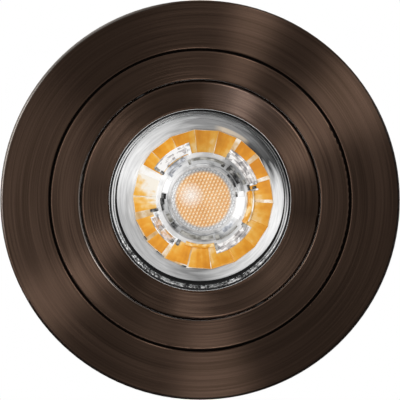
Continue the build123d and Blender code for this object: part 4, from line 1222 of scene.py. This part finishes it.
# %% Finishes of the holder and the clips
ceramic = mottled("ceramic", (0.66, 0.62, 0.55), (0.78, 0.75, 0.69), 350, (0.6, 0.8), 0.03)
brass = mottled(
    "brass", (0.55, 0.36, 0.12), (0.68, 0.48, 0.19), 300, (0.25, 0.4), 0.005, metallic=1.0,
)
zinc = mottled(
    "zinc_plate", (0.4, 0.41, 0.41), (0.58, 0.58, 0.57), 220, (0.38, 0.58), 0.008, metallic=1.0,
)
wire = mottled(
    "spring_wire", (0.3, 0.3, 0.31), (0.46, 0.46, 0.47), 600, (0.22, 0.38), 0.006, metallic=1.0,
)
blackened = mottled(
    "blackened_steel", (0.008, 0.008, 0.008), (0.02, 0.019, 0.018), 400, (0.4, 0.6), 0.006,
)
pad = mottled("dipped_pad", (0.012, 0.012, 0.012), (0.03, 0.03, 0.03), 500, (0.55, 0.75), 0.03)
dress(ceramic, "holder_body", "holder_cover")
dress(brass, "holder_contacts")
dress(zinc, "holder_screws", "bracket_screws")
dress(wire, "lamp_snap_ring")
dress(blackened, "friction_washers")
for side in ("left", "right"):
    dress(zinc, f"clip_bracket_{side}", f"clip_pin_{side}", f"clip_arm_{side}")
    dress(blackened, f"pivot_pin_{side}")
    dress(pad, f"clip_pad_{side}")
print("finishes:", [finish.name for finish in (ceramic, brass, zinc, wire, blackened, pad)])

# %% [markdown]
# ## Torsion springs
# Each clip has a spring wound round its hinge pin, with one leg on the bracket and one on the arm.
# A rigid spring would tear away from one of them when the clip folds; the wire here is one rigid
# mesh, from the leg on the housing along the coil to the leg on the arm. It is a circle, extruded
# for a leg, spun with a rise for the coil, and extruded again.

# %% Springs wound round the clips' hinge pins
CLIP_X = 43.4
CLIP_Z = 24.0
COIL_R = 2.3
COIL_PITCH = 1.6
COIL_TURNS = 4.5
COIL_STEPS = 24
COIL_HALF = COIL_PITCH * COIL_TURNS / 2
WIRE_R = 0.55
WIRE_SIDES = 14
FIXED_LEG = 9.0
ARM_LEG = 12.0


def picked(geom, kind):
    """The parts of one kind in an operator's result."""
    return [part for part in geom if isinstance(part, kind)]


def grow_leg(bm, edges, rise):
    """Extrude a loop of edges straight along Z by that many mm; returns the new loop."""
    grown = bmesh.ops.extrude_edge_only(bm, edges=edges)["geom"]
    verts = picked(grown, bmesh.types.BMVert)
    bmesh.ops.translate(bm, verts=verts, vec=(0, 0, rise * MM))
    return verts + picked(grown, bmesh.types.BMEdge)


def torsion_spring(side, turn):
    """One wire: a leg on the bracket, the coil round the hinge pin, and a leg on the arm."""
    bm = bmesh.new()
    begin = Vector((CLIP_X - COIL_R, -COIL_HALF, CLIP_Z - FIXED_LEG)) * MM
    centre = Vector((CLIP_X, 0, CLIP_Z)) * MM
    bmesh.ops.create_circle(
        bm, segments=WIRE_SIDES, radius=WIRE_R * MM, matrix=Matrix.Translation(begin),
    )
    steps = round(COIL_TURNS * COIL_STEPS)
    wound = bmesh.ops.spin(
        bm, geom=grow_leg(bm, bm.edges[:], FIXED_LEG), cent=centre, axis=(0, 1, 0),
        dvec=(0, 2 * COIL_HALF / steps * MM, 0), angle=math.tau * COIL_TURNS, steps=steps,
    )["geom_last"]
    grow_leg(bm, picked(wound, bmesh.types.BMEdge), -ARM_LEG)
    bmesh.ops.holes_fill(bm, edges=[e for e in bm.edges if e.is_boundary], sides=0)
    bmesh.ops.transform(bm, matrix=Matrix.Rotation(turn, 4, "Z"), verts=bm.verts)
    spring = mesh_object(f"spring_{side}", bm, wire)
    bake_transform(spring)
    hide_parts(f"clip_spring_{side}")


torsion_spring("right", 0.0)
torsion_spring("left", math.pi)
